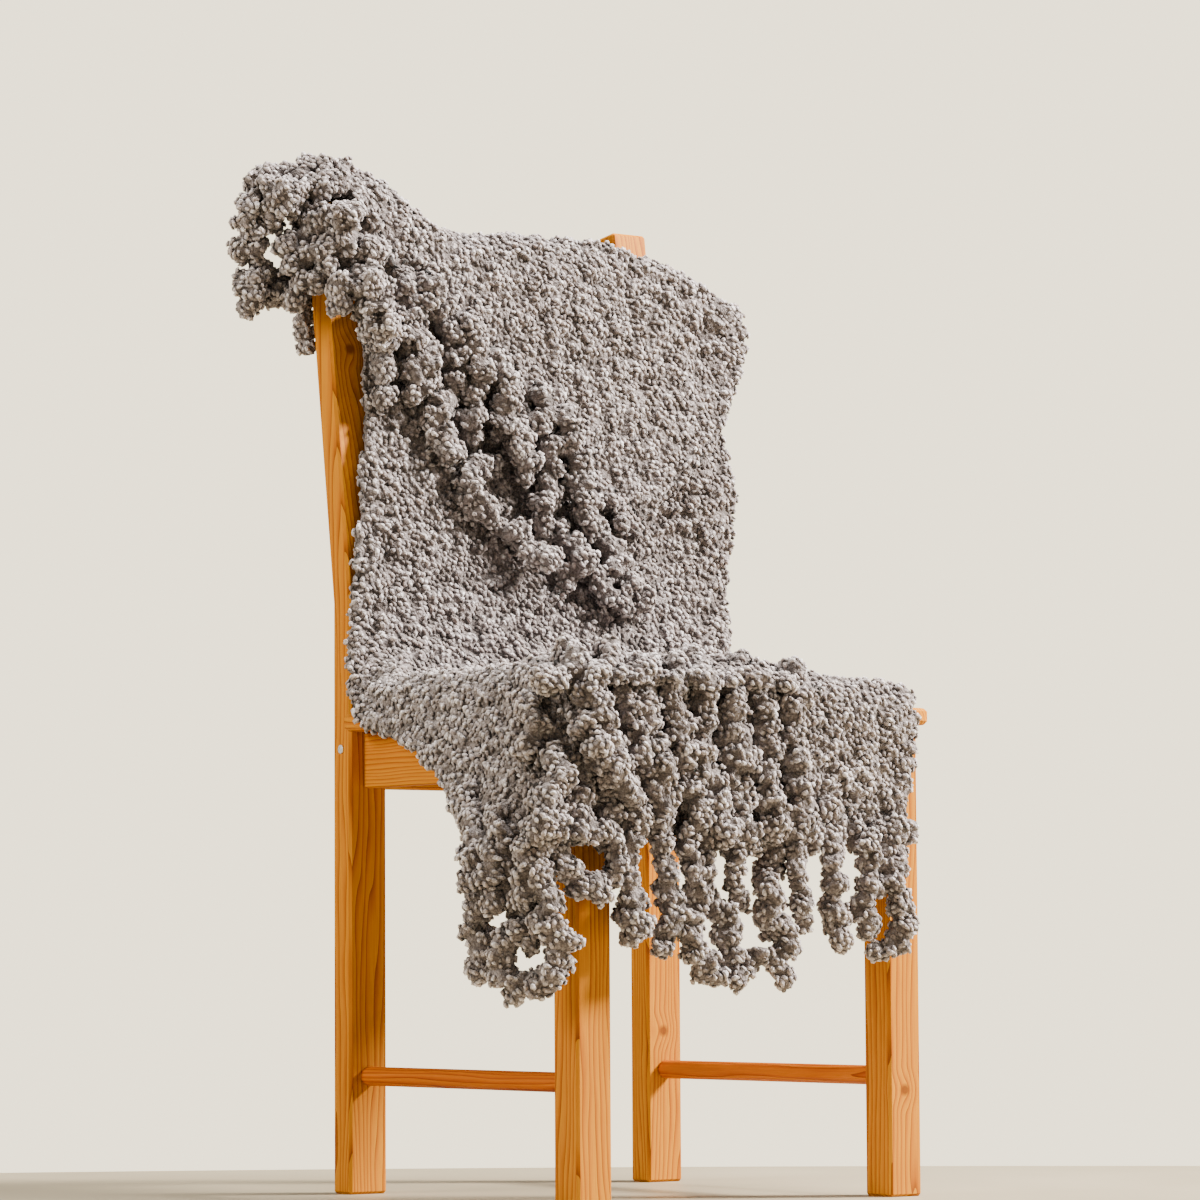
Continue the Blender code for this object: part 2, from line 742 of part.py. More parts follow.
def make_lower_fringe(finish):
    """The lower row: its strip follows the hem of the front end, and its strands hang plumb."""
    beyond = STRIP_WIDTH / 2 + STRIP_GAP
    flat = []
    for u in np.linspace(0.0, 1.0, 80):
        flat.append(front_hem(u, beyond))
    line = Line([np.array(seat_point(across, run)) for across, run in flat])

    def outward(along):
        way = line.tangent(along, 0.025)
        return Vector((way[1], -way[0], 0.0)).normalized()

    def below(along, down):
        sink = 0.003 + down
        inset = LOWER_ROW_INSET * min(1.0, down / 0.02) if along > CORNER_END else 0.0
        return Vector(line.at(along)) - outward(along) * inset - Vector((0, 0, sink))

    strip_and_strands("fringe_lower", line, outward, below, LOWER_LOOPS, finish)


def make_upper_fringe(finish):
    """The upper row: a strip laid on the bend over the seat's front edge, its strands lying down the cloth."""
    corner = seat_edge_x(0.0)

    def flat_point(turn_or_across, beyond):
        kind, value = turn_or_across
        if kind == "turn":
            angle = math.radians(value)
            return corner - beyond * math.sin(angle), -beyond * math.cos(angle)
        return value, -beyond

    places = [("turn", value) for value in np.linspace(UPPER_ROW_LEFT, 0.0, 13)[:-1]]
    places += [("across", value) for value in np.linspace(corner, UPPER_ROW_RIGHT, 28)]

    def surface(place, beyond, offset):
        across, run = flat_point(place, beyond)
        return seat_point(across, run) + seat_outward(across, run, 0.020) * offset

    strip_offset = THICKNESS / 2 + STRIP_THICKNESS / 2 + 0.0025
    root_offset = strip_offset + 0.0045
    points = [np.array(surface(place, UPPER_ROW_DROP, strip_offset)) for place in places]
    line = Line(points)

    def at_place(along):
        spot = np.interp(along, line.lengths, np.arange(len(places)))
        low = min(int(spot), len(places) - 2)
        part = spot - low
        one, two = places[low], places[low + 1]
        if one[0] == two[0]:
            return one[0], one[1] + (two[1] - one[1]) * part
        return ("turn", one[1] * (1 - part)) if part < 1 else two

    def outward(along):
        across, run = flat_point(at_place(along), UPPER_ROW_DROP)
        return seat_outward(across, run, 0.020)

    def below(along, down):
        spread = min(1.0, down / 0.030)
        offset = root_offset + (UPPER_ROW_OFFSET - root_offset) * spread
        return surface(at_place(along), UPPER_ROW_DROP + 0.002 + down, offset)

    strip_and_strands("fringe_upper", line, outward, below, UPPER_LOOPS, finish)


def make_flap_fringe(finish):
    """The flap's fringe: a strip along its slanting hem and up round the crest, with its strands."""
    down_left = Vector((FLAP_HEM_RIGHT[1] - FLAP_HEM_LEFT[1], 0.0, FLAP_HEM_LEFT[0] - FLAP_HEM_RIGHT[0]))
    down_left.normalize()
    off = STRIP_WIDTH / 2 + STRIP_GAP
    strand_y = THICKNESS / 2 + STRAND / 2 + STRAND_LIFT

    def hem_point(u, beyond):
        x, z = flap_hem(u)
        x += down_left.x * beyond
        z += down_left.z * beyond
        return Vector((x, flap_y(x, z), z))

    guide = Line(crest_guide(crest_across(0.0)))
    around = guide.lengths[33]
    edge_x = crest_across(0.0) - STRIP_WIDTH / 2 - STRIP_GAP

    def crest_point(part):
        length = around * part
        way = guide.tangent(length)
        y, z = guide.at(length) + np.array((-way[1], way[0])) * LAYER_STEP
        return Vector((edge_x, y, z)), Vector((0.0, -way[1], way[0]))

    def strip(work):
        path, facing = [], []
        for part in np.linspace(1.0, 0.0, 9):
            point, out = crest_point(part)
            path.append(point)
            facing.append(out)
        path.append(Vector((edge_x, flap_y(edge_x, FLAP_HEM_LEFT[1] - 0.002), FLAP_HEM_LEFT[1] - 0.002)))
        facing.append(Vector((0, -1, 0)))
        for u in np.linspace(0.03, 1.0, 16):
            path.append(hem_point(u, off))
            facing.append(Vector((0, -1, 0)))
        tube(work, path, facing, STRIP_WIDTH, STRIP_THICKNESS)

    def lying(x, z):
        return Vector((x, back_y(x, z) - strand_y, z))

    def hang(u, length, count=7):
        """A strand that leaves the hem squarely and turns to hang straight down."""
        root = hem_point(u, off + STRIP_WIDTH * 0.2)
        x, z = root.x, root.z
        path = []
        for part in np.linspace(0, 1, count):
            swing = 1 - math.exp(-3.0 * part)
            x_now = x + down_left.x * HANG_SWING * swing
            z_now = z - length * part * (0.72 + 0.28 * part)
            path.append(lying(x_now, z_now))
        return path

    def strands(work):
        front = Vector((0, -1, 0))
        for first, second, length in FLAP_LOOPS:
            path = hang(first, length)
            if first != second:
                back_up = hang(second, length * 0.82)
                middle = (path[-1] + back_up[-1]) / 2
                reach = (path[-1] - back_up[-1]).length / 2
                tip = lying(middle.x, middle.z - reach * 0.8)
                path = path + [tip] + list(reversed(back_up))
            tube(work, path, front, STRAND, STRAND, 0.75)
        for part, reach, end, drift in POST_LOOPS:
            root, out = crest_point(part)
            if reach < SHORT_REACH:
                path = []
                for share in np.linspace(0, 1, 7):
                    x = root.x - reach * min(1.0, 2.5 * share)
                    path.append(Vector((x, root.y + drift * share, root.z + (end - root.z) * share)))
                tube(work, path, out, POST_STRAND, POST_STRAND, 0.75)
                continue
            path = [root + Vector((0.003, 0, 0))]
            for step in range(1, 5):
                angle = math.radians(90 * step / 4)
                x = root.x - (reach - 0.02) * step / 4 - 0.02 * math.sin(angle)
                z = root.z + 0.004 - 0.022 * (1 - math.cos(angle))
                path.append(Vector((x, root.y + drift * step / 6, z)))
            last = path[-1]
            for step in range(1, 5):
                z = last.z + (end - last.z) * step / 4
                path.append(Vector((last.x - 0.004 * math.sin(step), root.y + drift * (4 + step * 0.5) / 6, z)))
            tube(work, path, out, POST_STRAND, POST_STRAND, 0.75)

    fused("fringe_flap", strip, strands, finish)


def main():
    clear_scene()
    origin = bpy.data.objects.new(ORIGIN_NAME, None)
    bpy.context.scene.collection.objects.link(origin)
    origin.location = (-ORIGIN_X, -ORIGIN_Y, 0.0)

    wood = material("oiled pine", 0.62, 0.30, 0.09, 0.45)
    yarn = material("boucle yarn", 0.36, 0.33, 0.31, 0.95)
    steel = material("zinc plated steel", 0.62, 0.63, 0.65, 0.35, 1.0)

    make_posts(wood)
    make_legs(wood)
    make_seat(wood)
    make_aprons(wood)
    make_rungs(wood)
    make_back_rails(wood)
    make_bolts(steel)
    make_blanket(yarn)
    make_lower_fringe(yarn)
    make_upper_fringe(yarn)
    make_flap_fringe(yarn)


main()
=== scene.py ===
import math
import random

import bmesh
import bpy
import numpy as np
from mathutils import Matrix, Vector, noise
from mathutils.bvhtree import BVHTree
from mathutils.kdtree import KDTree


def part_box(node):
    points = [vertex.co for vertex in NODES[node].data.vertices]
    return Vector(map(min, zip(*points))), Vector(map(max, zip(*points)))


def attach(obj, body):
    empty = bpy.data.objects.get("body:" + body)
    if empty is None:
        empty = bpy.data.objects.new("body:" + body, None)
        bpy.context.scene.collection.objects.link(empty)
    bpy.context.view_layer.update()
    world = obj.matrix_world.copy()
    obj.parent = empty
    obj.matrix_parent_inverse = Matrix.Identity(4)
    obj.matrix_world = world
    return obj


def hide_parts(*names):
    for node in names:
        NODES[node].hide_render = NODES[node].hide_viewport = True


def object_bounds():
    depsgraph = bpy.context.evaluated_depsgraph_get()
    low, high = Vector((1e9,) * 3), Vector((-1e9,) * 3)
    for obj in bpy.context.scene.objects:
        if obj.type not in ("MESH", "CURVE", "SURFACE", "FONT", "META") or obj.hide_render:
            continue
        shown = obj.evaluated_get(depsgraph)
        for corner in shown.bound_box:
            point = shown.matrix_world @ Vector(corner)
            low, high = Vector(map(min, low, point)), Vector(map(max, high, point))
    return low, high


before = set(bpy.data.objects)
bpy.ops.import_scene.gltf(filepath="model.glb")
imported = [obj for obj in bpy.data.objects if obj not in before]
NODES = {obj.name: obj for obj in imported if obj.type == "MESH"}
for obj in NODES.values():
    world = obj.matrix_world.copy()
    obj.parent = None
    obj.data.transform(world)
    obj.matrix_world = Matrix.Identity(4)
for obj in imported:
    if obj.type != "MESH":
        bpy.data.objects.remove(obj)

CAD_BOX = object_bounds()
SOFT = ("blanket", "fringe_lower", "fringe_upper", "fringe_flap")
CHAIR = [name for name in NODES if name not in SOFT]
SEED = 11
noise.seed_set(SEED)

# The photograph's camera, in metres and degrees
EYE = (-2.4819, -3.4577, 0.2197)
YAW, PITCH, ROLL = -35.5, 4.58, -0.33
LENS, SENSOR = 134.7, 36.0
PHOTO_WIDTH = 1200
FOCUS = LENS / SENSOR * PHOTO_WIDTH

# The ground under the curls: its smoothing, how far the cloth's is drawn in, how pale its colour is painted
# on a clump's top, the share of that left in a crease as painted shade, and its tint
MERGE_REACH = 0.00002
GROUND_LEVELS = 2
GROUND_SINK = 0.0046
GROUND_LIFT, GROUND_LEAST, GROUND_TINT = 0.30, 0.3, 0.4
# Its popcorn-like clumps, whose domes end at an edge in parts of the size, with their creases' steepness and
# the share of the height that is left there
CLUMP_SIZE, CLUMP_HEIGHT = 0.0140, 0.0068
CLUMP_EDGE, CLUMP_STEEPNESS, CLUMP_LEAST = 0.72, 2.5, 0.25
# Its slanting rows of stitches: the way across them, and how much of the relief is row, lump and swell
STITCH_WIDTH, STITCH_RELIEF = 0.015, 0.0016
ROW_WAY = (0.30, 0.55, 0.94)
ROW_SHARE, LUMP_SHARE, SWELL_SHARE = 0.35, 1.1, 0.5
LUMP_FINENESS = 1.1
SWELL_SIZE, SWELL_SHIFT = 0.045, 3.1
# Clumps stay this far off the wood
WOOD_REACH = 0.009

# The ground of a fringe: its knotty relief, and how it wanders where it hangs free of the cloth
CORD_SWELL = -0.0010
CORD_KNOT, CORD_RELIEF = 0.018, 0.0095
CORD_WANDER_SIZE, CORD_WANDER = 0.045, 0.0090
CORD_HELD, CORD_FREEING = 0.004, 0.030
# What faces the cloth nearer than this is drawn to it, nearly all the way
ROOT_REACH, ROOT_FACING, ROOT_DRAW = 0.014, 0.35, 0.98
# How far the cords may come out of the plain solids' box, to the left and to the front
CORD_MARGIN = (0.005, 0.009)

# Small knots are strung between a cord's own: their spacing and size in radii, and how far they are shaken
STRING_STEP, NECK, NECK_SIZES = 1.25, 0.82, (0.85, 1.15)
SHAKE_SIZE, SHAKE = 0.02, 0.008
# More lie over what is left of the plain fringe. They sink in by a part of their radius, and clear the wood
# by a length and the cloth by a part of their radius
KNOT_SPACING = 0.027
KNOT_RADII = (0.0085, 0.0125)
KNOT_SINK, KNOT_WOOD_GAP, KNOT_CLOTH_GAP = 0.35, 0.003, 0.5
# The knots' lumps, and the radius past which a knot is a finer ball
KNOT_LUMP_SIZE, KNOT_LUMPS = 0.0105, 0.85
FINE_KNOT = 0.0135
# The ring of sight lines round a knot: its size in radii, their number, and how many have to meet the solids
RING_SIZE, RING_STEPS, RING_LEAST = 0.7, 8, 3

# The curls of yarn: radius, spacing, height over the ground, and the height over it at which they are palest;
# below it their colour is painted darker, as shade
CURL_RADIUS, CURL_SIZES = 0.0029, (0.78, 1.25)
CURL_SPACING = 0.0044
CURL_RISE, CURL_RISE_SPREAD = 0.0007, 0.0005
CURL_TOP = 0.0035
# Each kind of curl: its bend and its length in radii. Then what all kinds share, with how far back up a bent
# one is moved, in bends
CURL_FORMS = ((0.30, 1.60), (0.45, 1.95), (0.25, 1.40), (0.40, 1.75), (0.30, 1.15))
CURL_BREADTH, CURL_THICKNESS, CURL_DENTS = 0.76, 0.80, (0.82, 1.18)
CURL_CENTRING = 0.3
# They lie more or less along the stitches, down and to the right; turn, tilt and their spread are in radians
CURL_COURSE, CURL_TURN_SPREAD = (0.55, -0.35, -0.75), 0.65
CURL_TILT, CURL_TILT_SPREAD = 1.35, 0.35
# Near wood a curl shrinks to the room that its reach, in radii, leaves it, or is left out below a least size
WOOD_LOOK, WOOD_GAP = 0.008, 0.0004
CURL_REACH, CURL_LEAST = 1.6, 0.0008
# How many places are tried for each that is kept
TRIES = 3.2

# Rays over half a ball, as the height of each ring and how many it has. They start off the surface, and what
# they meet within the longer reach hides a place, and within the shorter one darkens its painted colour as
# shade
RAY_RINGS = ((0.95, 1), (0.65, 4), (0.3, 5), (0.06, 5))
RAY_START, SEEN_REACH, SHADE_REACH = 0.0010, 0.40, 0.045
# The least open place that gets a curl, and how its openness and its depth in a crease darken its colour, as
# painted shade
LEAST_OPEN = 0.10
OPEN_GAIN, OPEN_LOSS, OPEN_LEAST = 1.35, 0.1, 0.08
CLOTH_CREASE, CORD_CREASE = 0.35, 0.72
# A normal as steep as this takes X for its upward way
STEEP = 0.9

# Curls that bridge the gap between the cloth's hem and its fringe: one in its middle, or two in a wide gap,
# and the openness that sets how dark their colour is painted as shade
BRIDGE_REACH, BRIDGE_LEAST, BRIDGE_WIDE = 0.010, 0.001, 0.005
BRIDGE_FACING, BRIDGE_SHAKE, BRIDGE_OPEN = 0.45, 0.0008, 0.8
BRIDGE_ONE, BRIDGE_TWO = (0.5,), (0.3, 0.75)

# Heights that part the blanket's pile into pieces, from the drop in front up to the back
DROP_TOP, SEAT_TOP, BACK_LOW_TOP, REAR_LOW_TOP = 0.44, 0.50, 0.70, 0.72
SEAT_MIDDLE, BACK_MIDDLE, REAR_FACING = 0.0, 0.03, 0.2

# A bolt's head, in parts of its radius, but for the socket's depth, in parts of the head's depth
BOLT_STEPS, RIM_STEPS, RIM_ROUND = 48, 3, 0.14
SOCKET_INSET, SOCKET_HALF_WIDTH, SOCKET_DEPTH = 0.36, 0.52, 0.55

# The floor's radius, and how far ahead of the camera its middle lies along the camera's way, so that its far
# edge is where the floor ends in the photograph, about half a metre behind the chair
FLOOR_RADIUS, FLOOR_STEPS = 4.2, 256
FLOOR_AHEAD, FLOOR_WAY = 0.60, (0.581, 0.814)

# The uprights: how their pith leans, in radians, where it lies, and the middle of the knot that shows. The
# pith lies beside each one, so that the rings run out along its faces as arches
UPRIGHTS = (
    ("post_left", (0.012, 0.010), (-0.110, 0.215), (-0.178, 0.186, 0.809)),
    ("post_right", (0.020, -0.016), (0.235, 0.262), (0.168, 0.153, 0.149)),
    ("leg_left", (-0.016, 0.014), (-0.128, -0.150), None),
    ("leg_right", (-0.014, -0.018), (0.228, -0.138), (0.171, -0.220, 0.098)),
)

# The lights: name, place, diameter, watts and colour, all turned to the middle of the object
LIGHTS_TARGET = (0.0, -0.05, 0.55)
LIGHTS = (
    ("soft key", (3.2, -2.3, 2.9), 1.0, 1150.0, "FFF8F0"),
    ("soft top", (0.4, -0.5, 3.3), 1.8, 225.0, "FFFBF6"),
    ("soft fill", (-2.2, 0.5, 1.2), 0.9, 62.0, "FFF6E6"),
)

# Past these planes (point, outward way) a fringe is made of loose cords alone
CORD_PLANES = {
    "fringe_lower": ((0, 0, 0.318), (0, 0, -1)),
    "fringe_upper": ((0, 0, 0.462), (0, 0, -1)),
    "fringe_flap": ((-0.178, 0, 0.914), (-0.681, 0, -0.732)),
}
# The loose cords of each fringe as the photograph shows them, knot by knot from the root down: place across,
# place down and radius, in its pixels
CORDS = {
    "fringe_lower": (
        ((468, 800, 13), (473, 825, 16), (477, 852, 17), (479, 880, 17), (479, 908, 16), (482, 936, 16),
         (480, 966, 16)),
        ((498, 815, 13), (505, 845, 15), (510, 868, 16), (513, 892, 14), (517, 912, 11)),
        ((535, 855, 13), (542, 878, 15), (549, 900, 16), (546, 926, 19), (561, 940, 15), (556, 958, 15),
         (550, 974, 16), (534, 986, 14), (516, 987, 16), (505, 976, 15), (500, 960, 14), (503, 943, 13),
         (520, 932, 14), (530, 944, 9)),
        ((490, 850, 14), (492, 876, 14), (494, 900, 12)),
        ((524, 850, 14), (527, 875, 14), (525, 900, 13), (519, 918, 12)),
        ((560, 848, 12), (568, 868, 13), (580, 885, 14), (598, 891, 14), (612, 876, 12), (618, 856, 11),
         (613, 838, 11), (598, 829, 10), (583, 833, 9)),
        ((636, 815, 14), (632, 840, 12), (628, 870, 10), (633, 898, 14), (634, 924, 18)),
        ((662, 845, 12), (668, 878, 14), (673, 904, 14), (671, 928, 14), (661, 948, 10)),
        ((688, 845, 14), (694, 870, 15), (697, 893, 14), (689, 914, 14), (689, 935, 14), (696, 955, 14),
         (708, 972, 13)),
        ((704, 838, 11), (706, 862, 9), (706, 885, 9), (710, 906, 12), (726, 914, 13), (728, 936, 13),
         (731, 958, 13), (733, 976, 14), (716, 975, 13)),
        ((733, 848, 13), (736, 866, 10), (733, 886, 11), (741, 903, 11)),
        ((768, 845, 15), (771, 868, 15), (767, 890, 15), (767, 910, 12), (777, 928, 14), (787, 945, 12),
         (778, 963, 13), (784, 978, 10)),
        ((762, 955, 9), (749, 964, 12), (738, 970, 12)),
        ((795, 852, 13), (797, 880, 10), (801, 905, 12), (803, 921, 9)),
        ((830, 838, 12), (832, 862, 12), (835, 888, 13), (833, 912, 13), (838, 938, 13)),
        ((866, 842, 13), (868, 866, 12), (871, 888, 13), (862, 910, 13), (867, 932, 11)),
        ((893, 830, 14), (882, 856, 14), (893, 880, 15), (899, 904, 13), (905, 925, 11), (897, 940, 12),
         (880, 950, 11)),
    ),
    "fringe_upper": (
        ((535, 680, 13), (530, 705, 14), (540, 728, 12), (525, 750, 11)),
        ((567, 652, 14), (575, 672, 13), (590, 698, 17), (592, 724, 21), (602, 750, 20), (617, 775, 18),
         (630, 797, 13)),
        ((548, 752, 11), (560, 775, 15), (549, 797, 14), (545, 828, 21)),
        ((600, 795, 10), (580, 806, 11), (577, 827, 17), (560, 812, 10)),
        ((608, 650, 12), (612, 668, 11), (622, 692, 11), (634, 712, 12), (638, 735, 12), (640, 760, 12)),
        ((639, 670, 13), (645, 700, 12), (650, 722, 13), (652, 745, 14), (656, 770, 16), (665, 796, 16),
         (655, 822, 14)),
        ((675, 668, 13), (672, 690, 12), (674, 714, 12), (678, 738, 14), (685, 762, 14), (691, 788, 14),
         (700, 812, 14), (690, 834, 13)),
        ((695, 656, 12), (700, 682, 11), (703, 704, 12), (701, 728, 13), (700, 752, 15), (706, 777, 13),
         (716, 802, 14), (722, 826, 15)),
        ((737, 660, 12), (733, 690, 11), (733, 712, 13), (732, 735, 15), (740, 758, 15), (735, 782, 14),
         (741, 806, 13), (746, 831, 13)),
        ((757, 676, 13), (762, 698, 12), (766, 722, 13), (768, 746, 14), (763, 772, 12), (770, 800, 14),
         (775, 826, 13)),
        ((790, 672, 13), (788, 706, 12), (791, 734, 13), (793, 760, 14), (796, 786, 14), (799, 811, 14),
         (801, 832, 12)),
    ),
    "fringe_flap": (
        ((375, 318, 14), (379, 343, 13), (385, 372, 12), (383, 398, 11)),
        ((402, 290, 15), (408, 318, 17), (412, 345, 19), (417, 370, 19), (414, 391, 14)),
        ((440, 310, 14), (450, 332, 14), (453, 356, 16), (455, 380, 14), (441, 400, 13), (433, 417, 15),
         (440, 436, 14), (450, 452, 14)),
        ((470, 322, 12), (478, 346, 13), (482, 370, 14), (471, 395, 13), (469, 416, 14), (472, 436, 10)),
        ((500, 360, 10), (512, 385, 13), (506, 405, 14), (509, 426, 16), (519, 442, 16), (528, 462, 13),
         (527, 476, 9)),
        ((492, 462, 10), (479, 466, 14), (470, 482, 16), (471, 501, 15), (486, 513, 14)),
        ((540, 392, 9), (547, 418, 11), (551, 445, 12), (553, 466, 12), (549, 486, 14), (544, 505, 15),
         (543, 523, 13)),
        ((562, 415, 10), (572, 438, 12), (578, 460, 12), (581, 483, 14), (586, 503, 15), (591, 521, 14)),
        ((500, 527, 10), (514, 531, 13), (527, 548, 11), (545, 556, 14)),
        ((560, 532, 10), (571, 546, 14), (580, 561, 16), (566, 575, 12)),
        ((598, 530, 10), (606, 548, 13), (613, 566, 16), (626, 586, 16), (640, 600, 13)),
        ((592, 572, 11), (603, 588, 13), (622, 602, 11)),
        ((430, 285, 12), (432, 300, 12)),
    ),
}
# How the cords of each fringe lie: on which solids, between which distances from the camera, how far their
# knots and their root knots stand out from the solids in radii, how full they are, and whether they hang, so
# that no knot lies further from the camera than the one above it
CORD_LIE = {
    "fringe_lower": {
        "onto": ("fringe_lower", "blanket"),
        "reach": (3.90, 4.24),
        "out": 0.1,
        "root": 0.1,
        "full": 0.93,
        "hang": False,
    },
    "fringe_upper": {
        "onto": ("blanket",),
        "reach": (3.80, 4.25),
        "out": 0.55,
        "root": -0.33,
        "full": 1.05,
        "hang": False,
    },
    "fringe_flap": {
        "onto": ("blanket",),
        "reach": (4.20, 4.62),
        "out": 0.9,
        "root": 0.9,
        "full": 0.97,
        "hang": True,
    },
}
# The bunch of knots over the left post's top: place across, place down and radius in the photograph's pixels,
# and metres from the camera
POST_BUNCH = (
    (285, 198, 21, 4.335), (262, 182, 15, 4.355), (252, 205, 14, 4.340), (250, 225, 14, 4.335),
    (272, 222, 12, 4.370), (240, 250, 12, 4.335), (255, 248, 13, 4.335), (288, 245, 12, 4.330),
    (292, 265, 12, 4.325), (275, 288, 17, 4.350), (292, 298, 12, 4.330), (252, 285, 15, 4.330),
    (250, 305, 12, 4.330), (261, 270, 12, 4.345), (320, 188, 16, 4.355), (318, 222, 17, 4.340),
    (322, 240, 14, 4.340), (268, 216, 14, 4.340), (317, 284, 12, 4.320), (338, 186, 14, 4.355),
    (322, 172, 12, 4.370), (312, 200, 17, 4.415), (308, 225, 15, 4.385), (307, 249, 15, 4.335),
    (330, 195, 16, 4.405), (343, 218, 17, 4.325), (342, 235, 15, 4.325), (326, 225, 16, 4.360),
    (325, 250, 15, 4.325), (316, 272, 16, 4.355), (300, 280, 12, 4.325), (338, 288, 14, 4.310),
    (340, 305, 12, 4.310), (329, 268, 12, 4.320), (350, 262, 12, 4.330), (345, 250, 12, 4.325),
    (366, 250, 14, 4.335), (368, 285, 20, 4.315), (372, 305, 18, 4.315), (382, 325, 18, 4.315),
    (385, 340, 12, 4.330), (365, 225, 14, 4.355), (360, 205, 12, 4.355), (352, 190, 12, 4.360),
    (300, 292, 10, 4.385), (301, 305, 10, 4.385), (302, 320, 10, 4.385), (305, 334, 9, 4.385),
    (308, 347, 8, 4.380), (297, 277, 10, 4.380), (296, 260, 11, 4.375), (296, 242, 12, 4.375),
)


def linear(code):
    """An sRGB hex colour as linear red, green, blue and 1."""
    parts = [int(code[k : k + 2], 16) / 255 for k in (0, 2, 4)]
    return tuple(c / 12.92 if c <= 0.04045 else ((c + 0.055) / 1.055) ** 2.4 for c in parts) + (1.0,)


def add(tree, kind, inputs=None, stops=None, **settings):
    """Adds one node with its settings, and links or fills its inputs."""
    made = tree.nodes.new(kind)
    for name, value in settings.items():
        setattr(made, name, value)
    for socket, value in (inputs or {}).items():
        if isinstance(value, bpy.types.NodeSocket):
            tree.links.new(value, made.inputs[socket])
        else:
            made.inputs[socket].default_value = value
    if stops:
        ramp = made.color_ramp.elements
        while len(ramp) < len(stops):
            ramp.new(1.0)
        for element, (place, code) in zip(ramp, stops):
            element.position = place
            element.color = linear(code)
    return made


def new_material(name):
    made = bpy.data.materials.new(name)
    made.use_nodes = True
    made.node_tree.nodes.clear()
    return made, made.node_tree


def boucle_yarn():
    """Boucle yarn, looped and crocheted: a matt cotton and wool mix. Its colour holds painted shade: pale at
    the curls' tips and brown-grey in the hollows between them, where little light comes back out. Fibre ends
    give a faint sheen at the rims."""
    made, tree = new_material("boucle yarn, crocheted")
    # lift carries painted shade and light: the ramp below paints low, shut-in places dark brown and open tips
    # near white
    lift = add(tree, "ShaderNodeAttribute", attribute_name="lift")
    tint = add(tree, "ShaderNodeAttribute", attribute_name="tint")
    place = add(tree, "ShaderNodeTexCoord")
    painted_shade_tone = add(
        tree,
        "ShaderNodeValToRGB",
        {"Fac": lift.outputs["Fac"]},
        stops=[(0.0, "211C19"), (0.12, "716967"), (0.38, "C8C2C4"), (0.80, "FAF8FA")],
    )
    # Each curl is a touch lighter, darker or warmer than the next
    varied = add(
        tree,
        "ShaderNodeValToRGB",
        {"Fac": tint.outputs["Fac"]},
        stops=[(0.0, "D3C9C3"), (0.5, "EFECEB"), (1.0, "FFFFFF")],
    )
    # Fibres of a curl, drawn at 1.3 mm because the real ones of 0.05 mm are too fine to show
    fibre = add(
        tree,
        "ShaderNodeTexNoise",
        {"Vector": place.outputs["Object"], "Scale": 780.0, "Detail": 2.0, "Roughness": 0.6},
    )
    # The loops that a curl is made of, 2.4 mm each
    loops = add(
        tree,
        "ShaderNodeTexVoronoi",
        {"Vector": place.outputs["Object"], "Scale": 420.0},
        feature="F1",
    )
    # Painted shade between the loops: the colour darkens from each loop's middle towards its rim
    painted_loop_shade = add(
        tree,
        "ShaderNodeValToRGB",
        {"Fac": loops.outputs["Distance"]},
        stops=[(0.2, "FFFFFF"), (0.5, "DCD6D3"), (0.8, "9B918B")],
    )
    mixed = add(
        tree,
        "ShaderNodeMix",
        {"Factor": 1.0, 6: painted_shade_tone.outputs["Color"], 7: varied.outputs["Color"]},
        data_type="RGBA",
        blend_type="MULTIPLY",
    )
    # The painted shade between the loops, multiplied into the colour
    with_painted_loop_shade = add(
        tree,
        "ShaderNodeMix",
        {"Factor": 0.8, 6: mixed.outputs[2], 7: painted_loop_shade.outputs["Color"]},
        data_type="RGBA",
        blend_type="MULTIPLY",
    )
    height = add(
        tree,
        "ShaderNodeMath",
        {0: loops.outputs["Distance"], 1: -1.6, 2: fibre.outputs["Fac"]},
        operation="MULTIPLY_ADD",
    )
    bump = add(
        tree,
        "ShaderNodeBump",
        {"Height": height.outputs["Value"], "Strength": 0.7, "Distance": 0.0014},
    )
    shader = add(
        tree,
        "ShaderNodeBsdfPrincipled",
        {
            "Base Color": with_painted_loop_shade.outputs[2],
            "Roughness": 0.92,
            "IOR": 1.5,
            "Specular IOR Level": 0.25,
            "Sheen Weight": 0.25,
            "Sheen Roughness": 0.6,
            "Normal": bump.outputs["Normal"],
        },
    )
    add(tree, "ShaderNodeOutputMaterial", {"Surface": shader.outputs["BSDF"]})
    return made


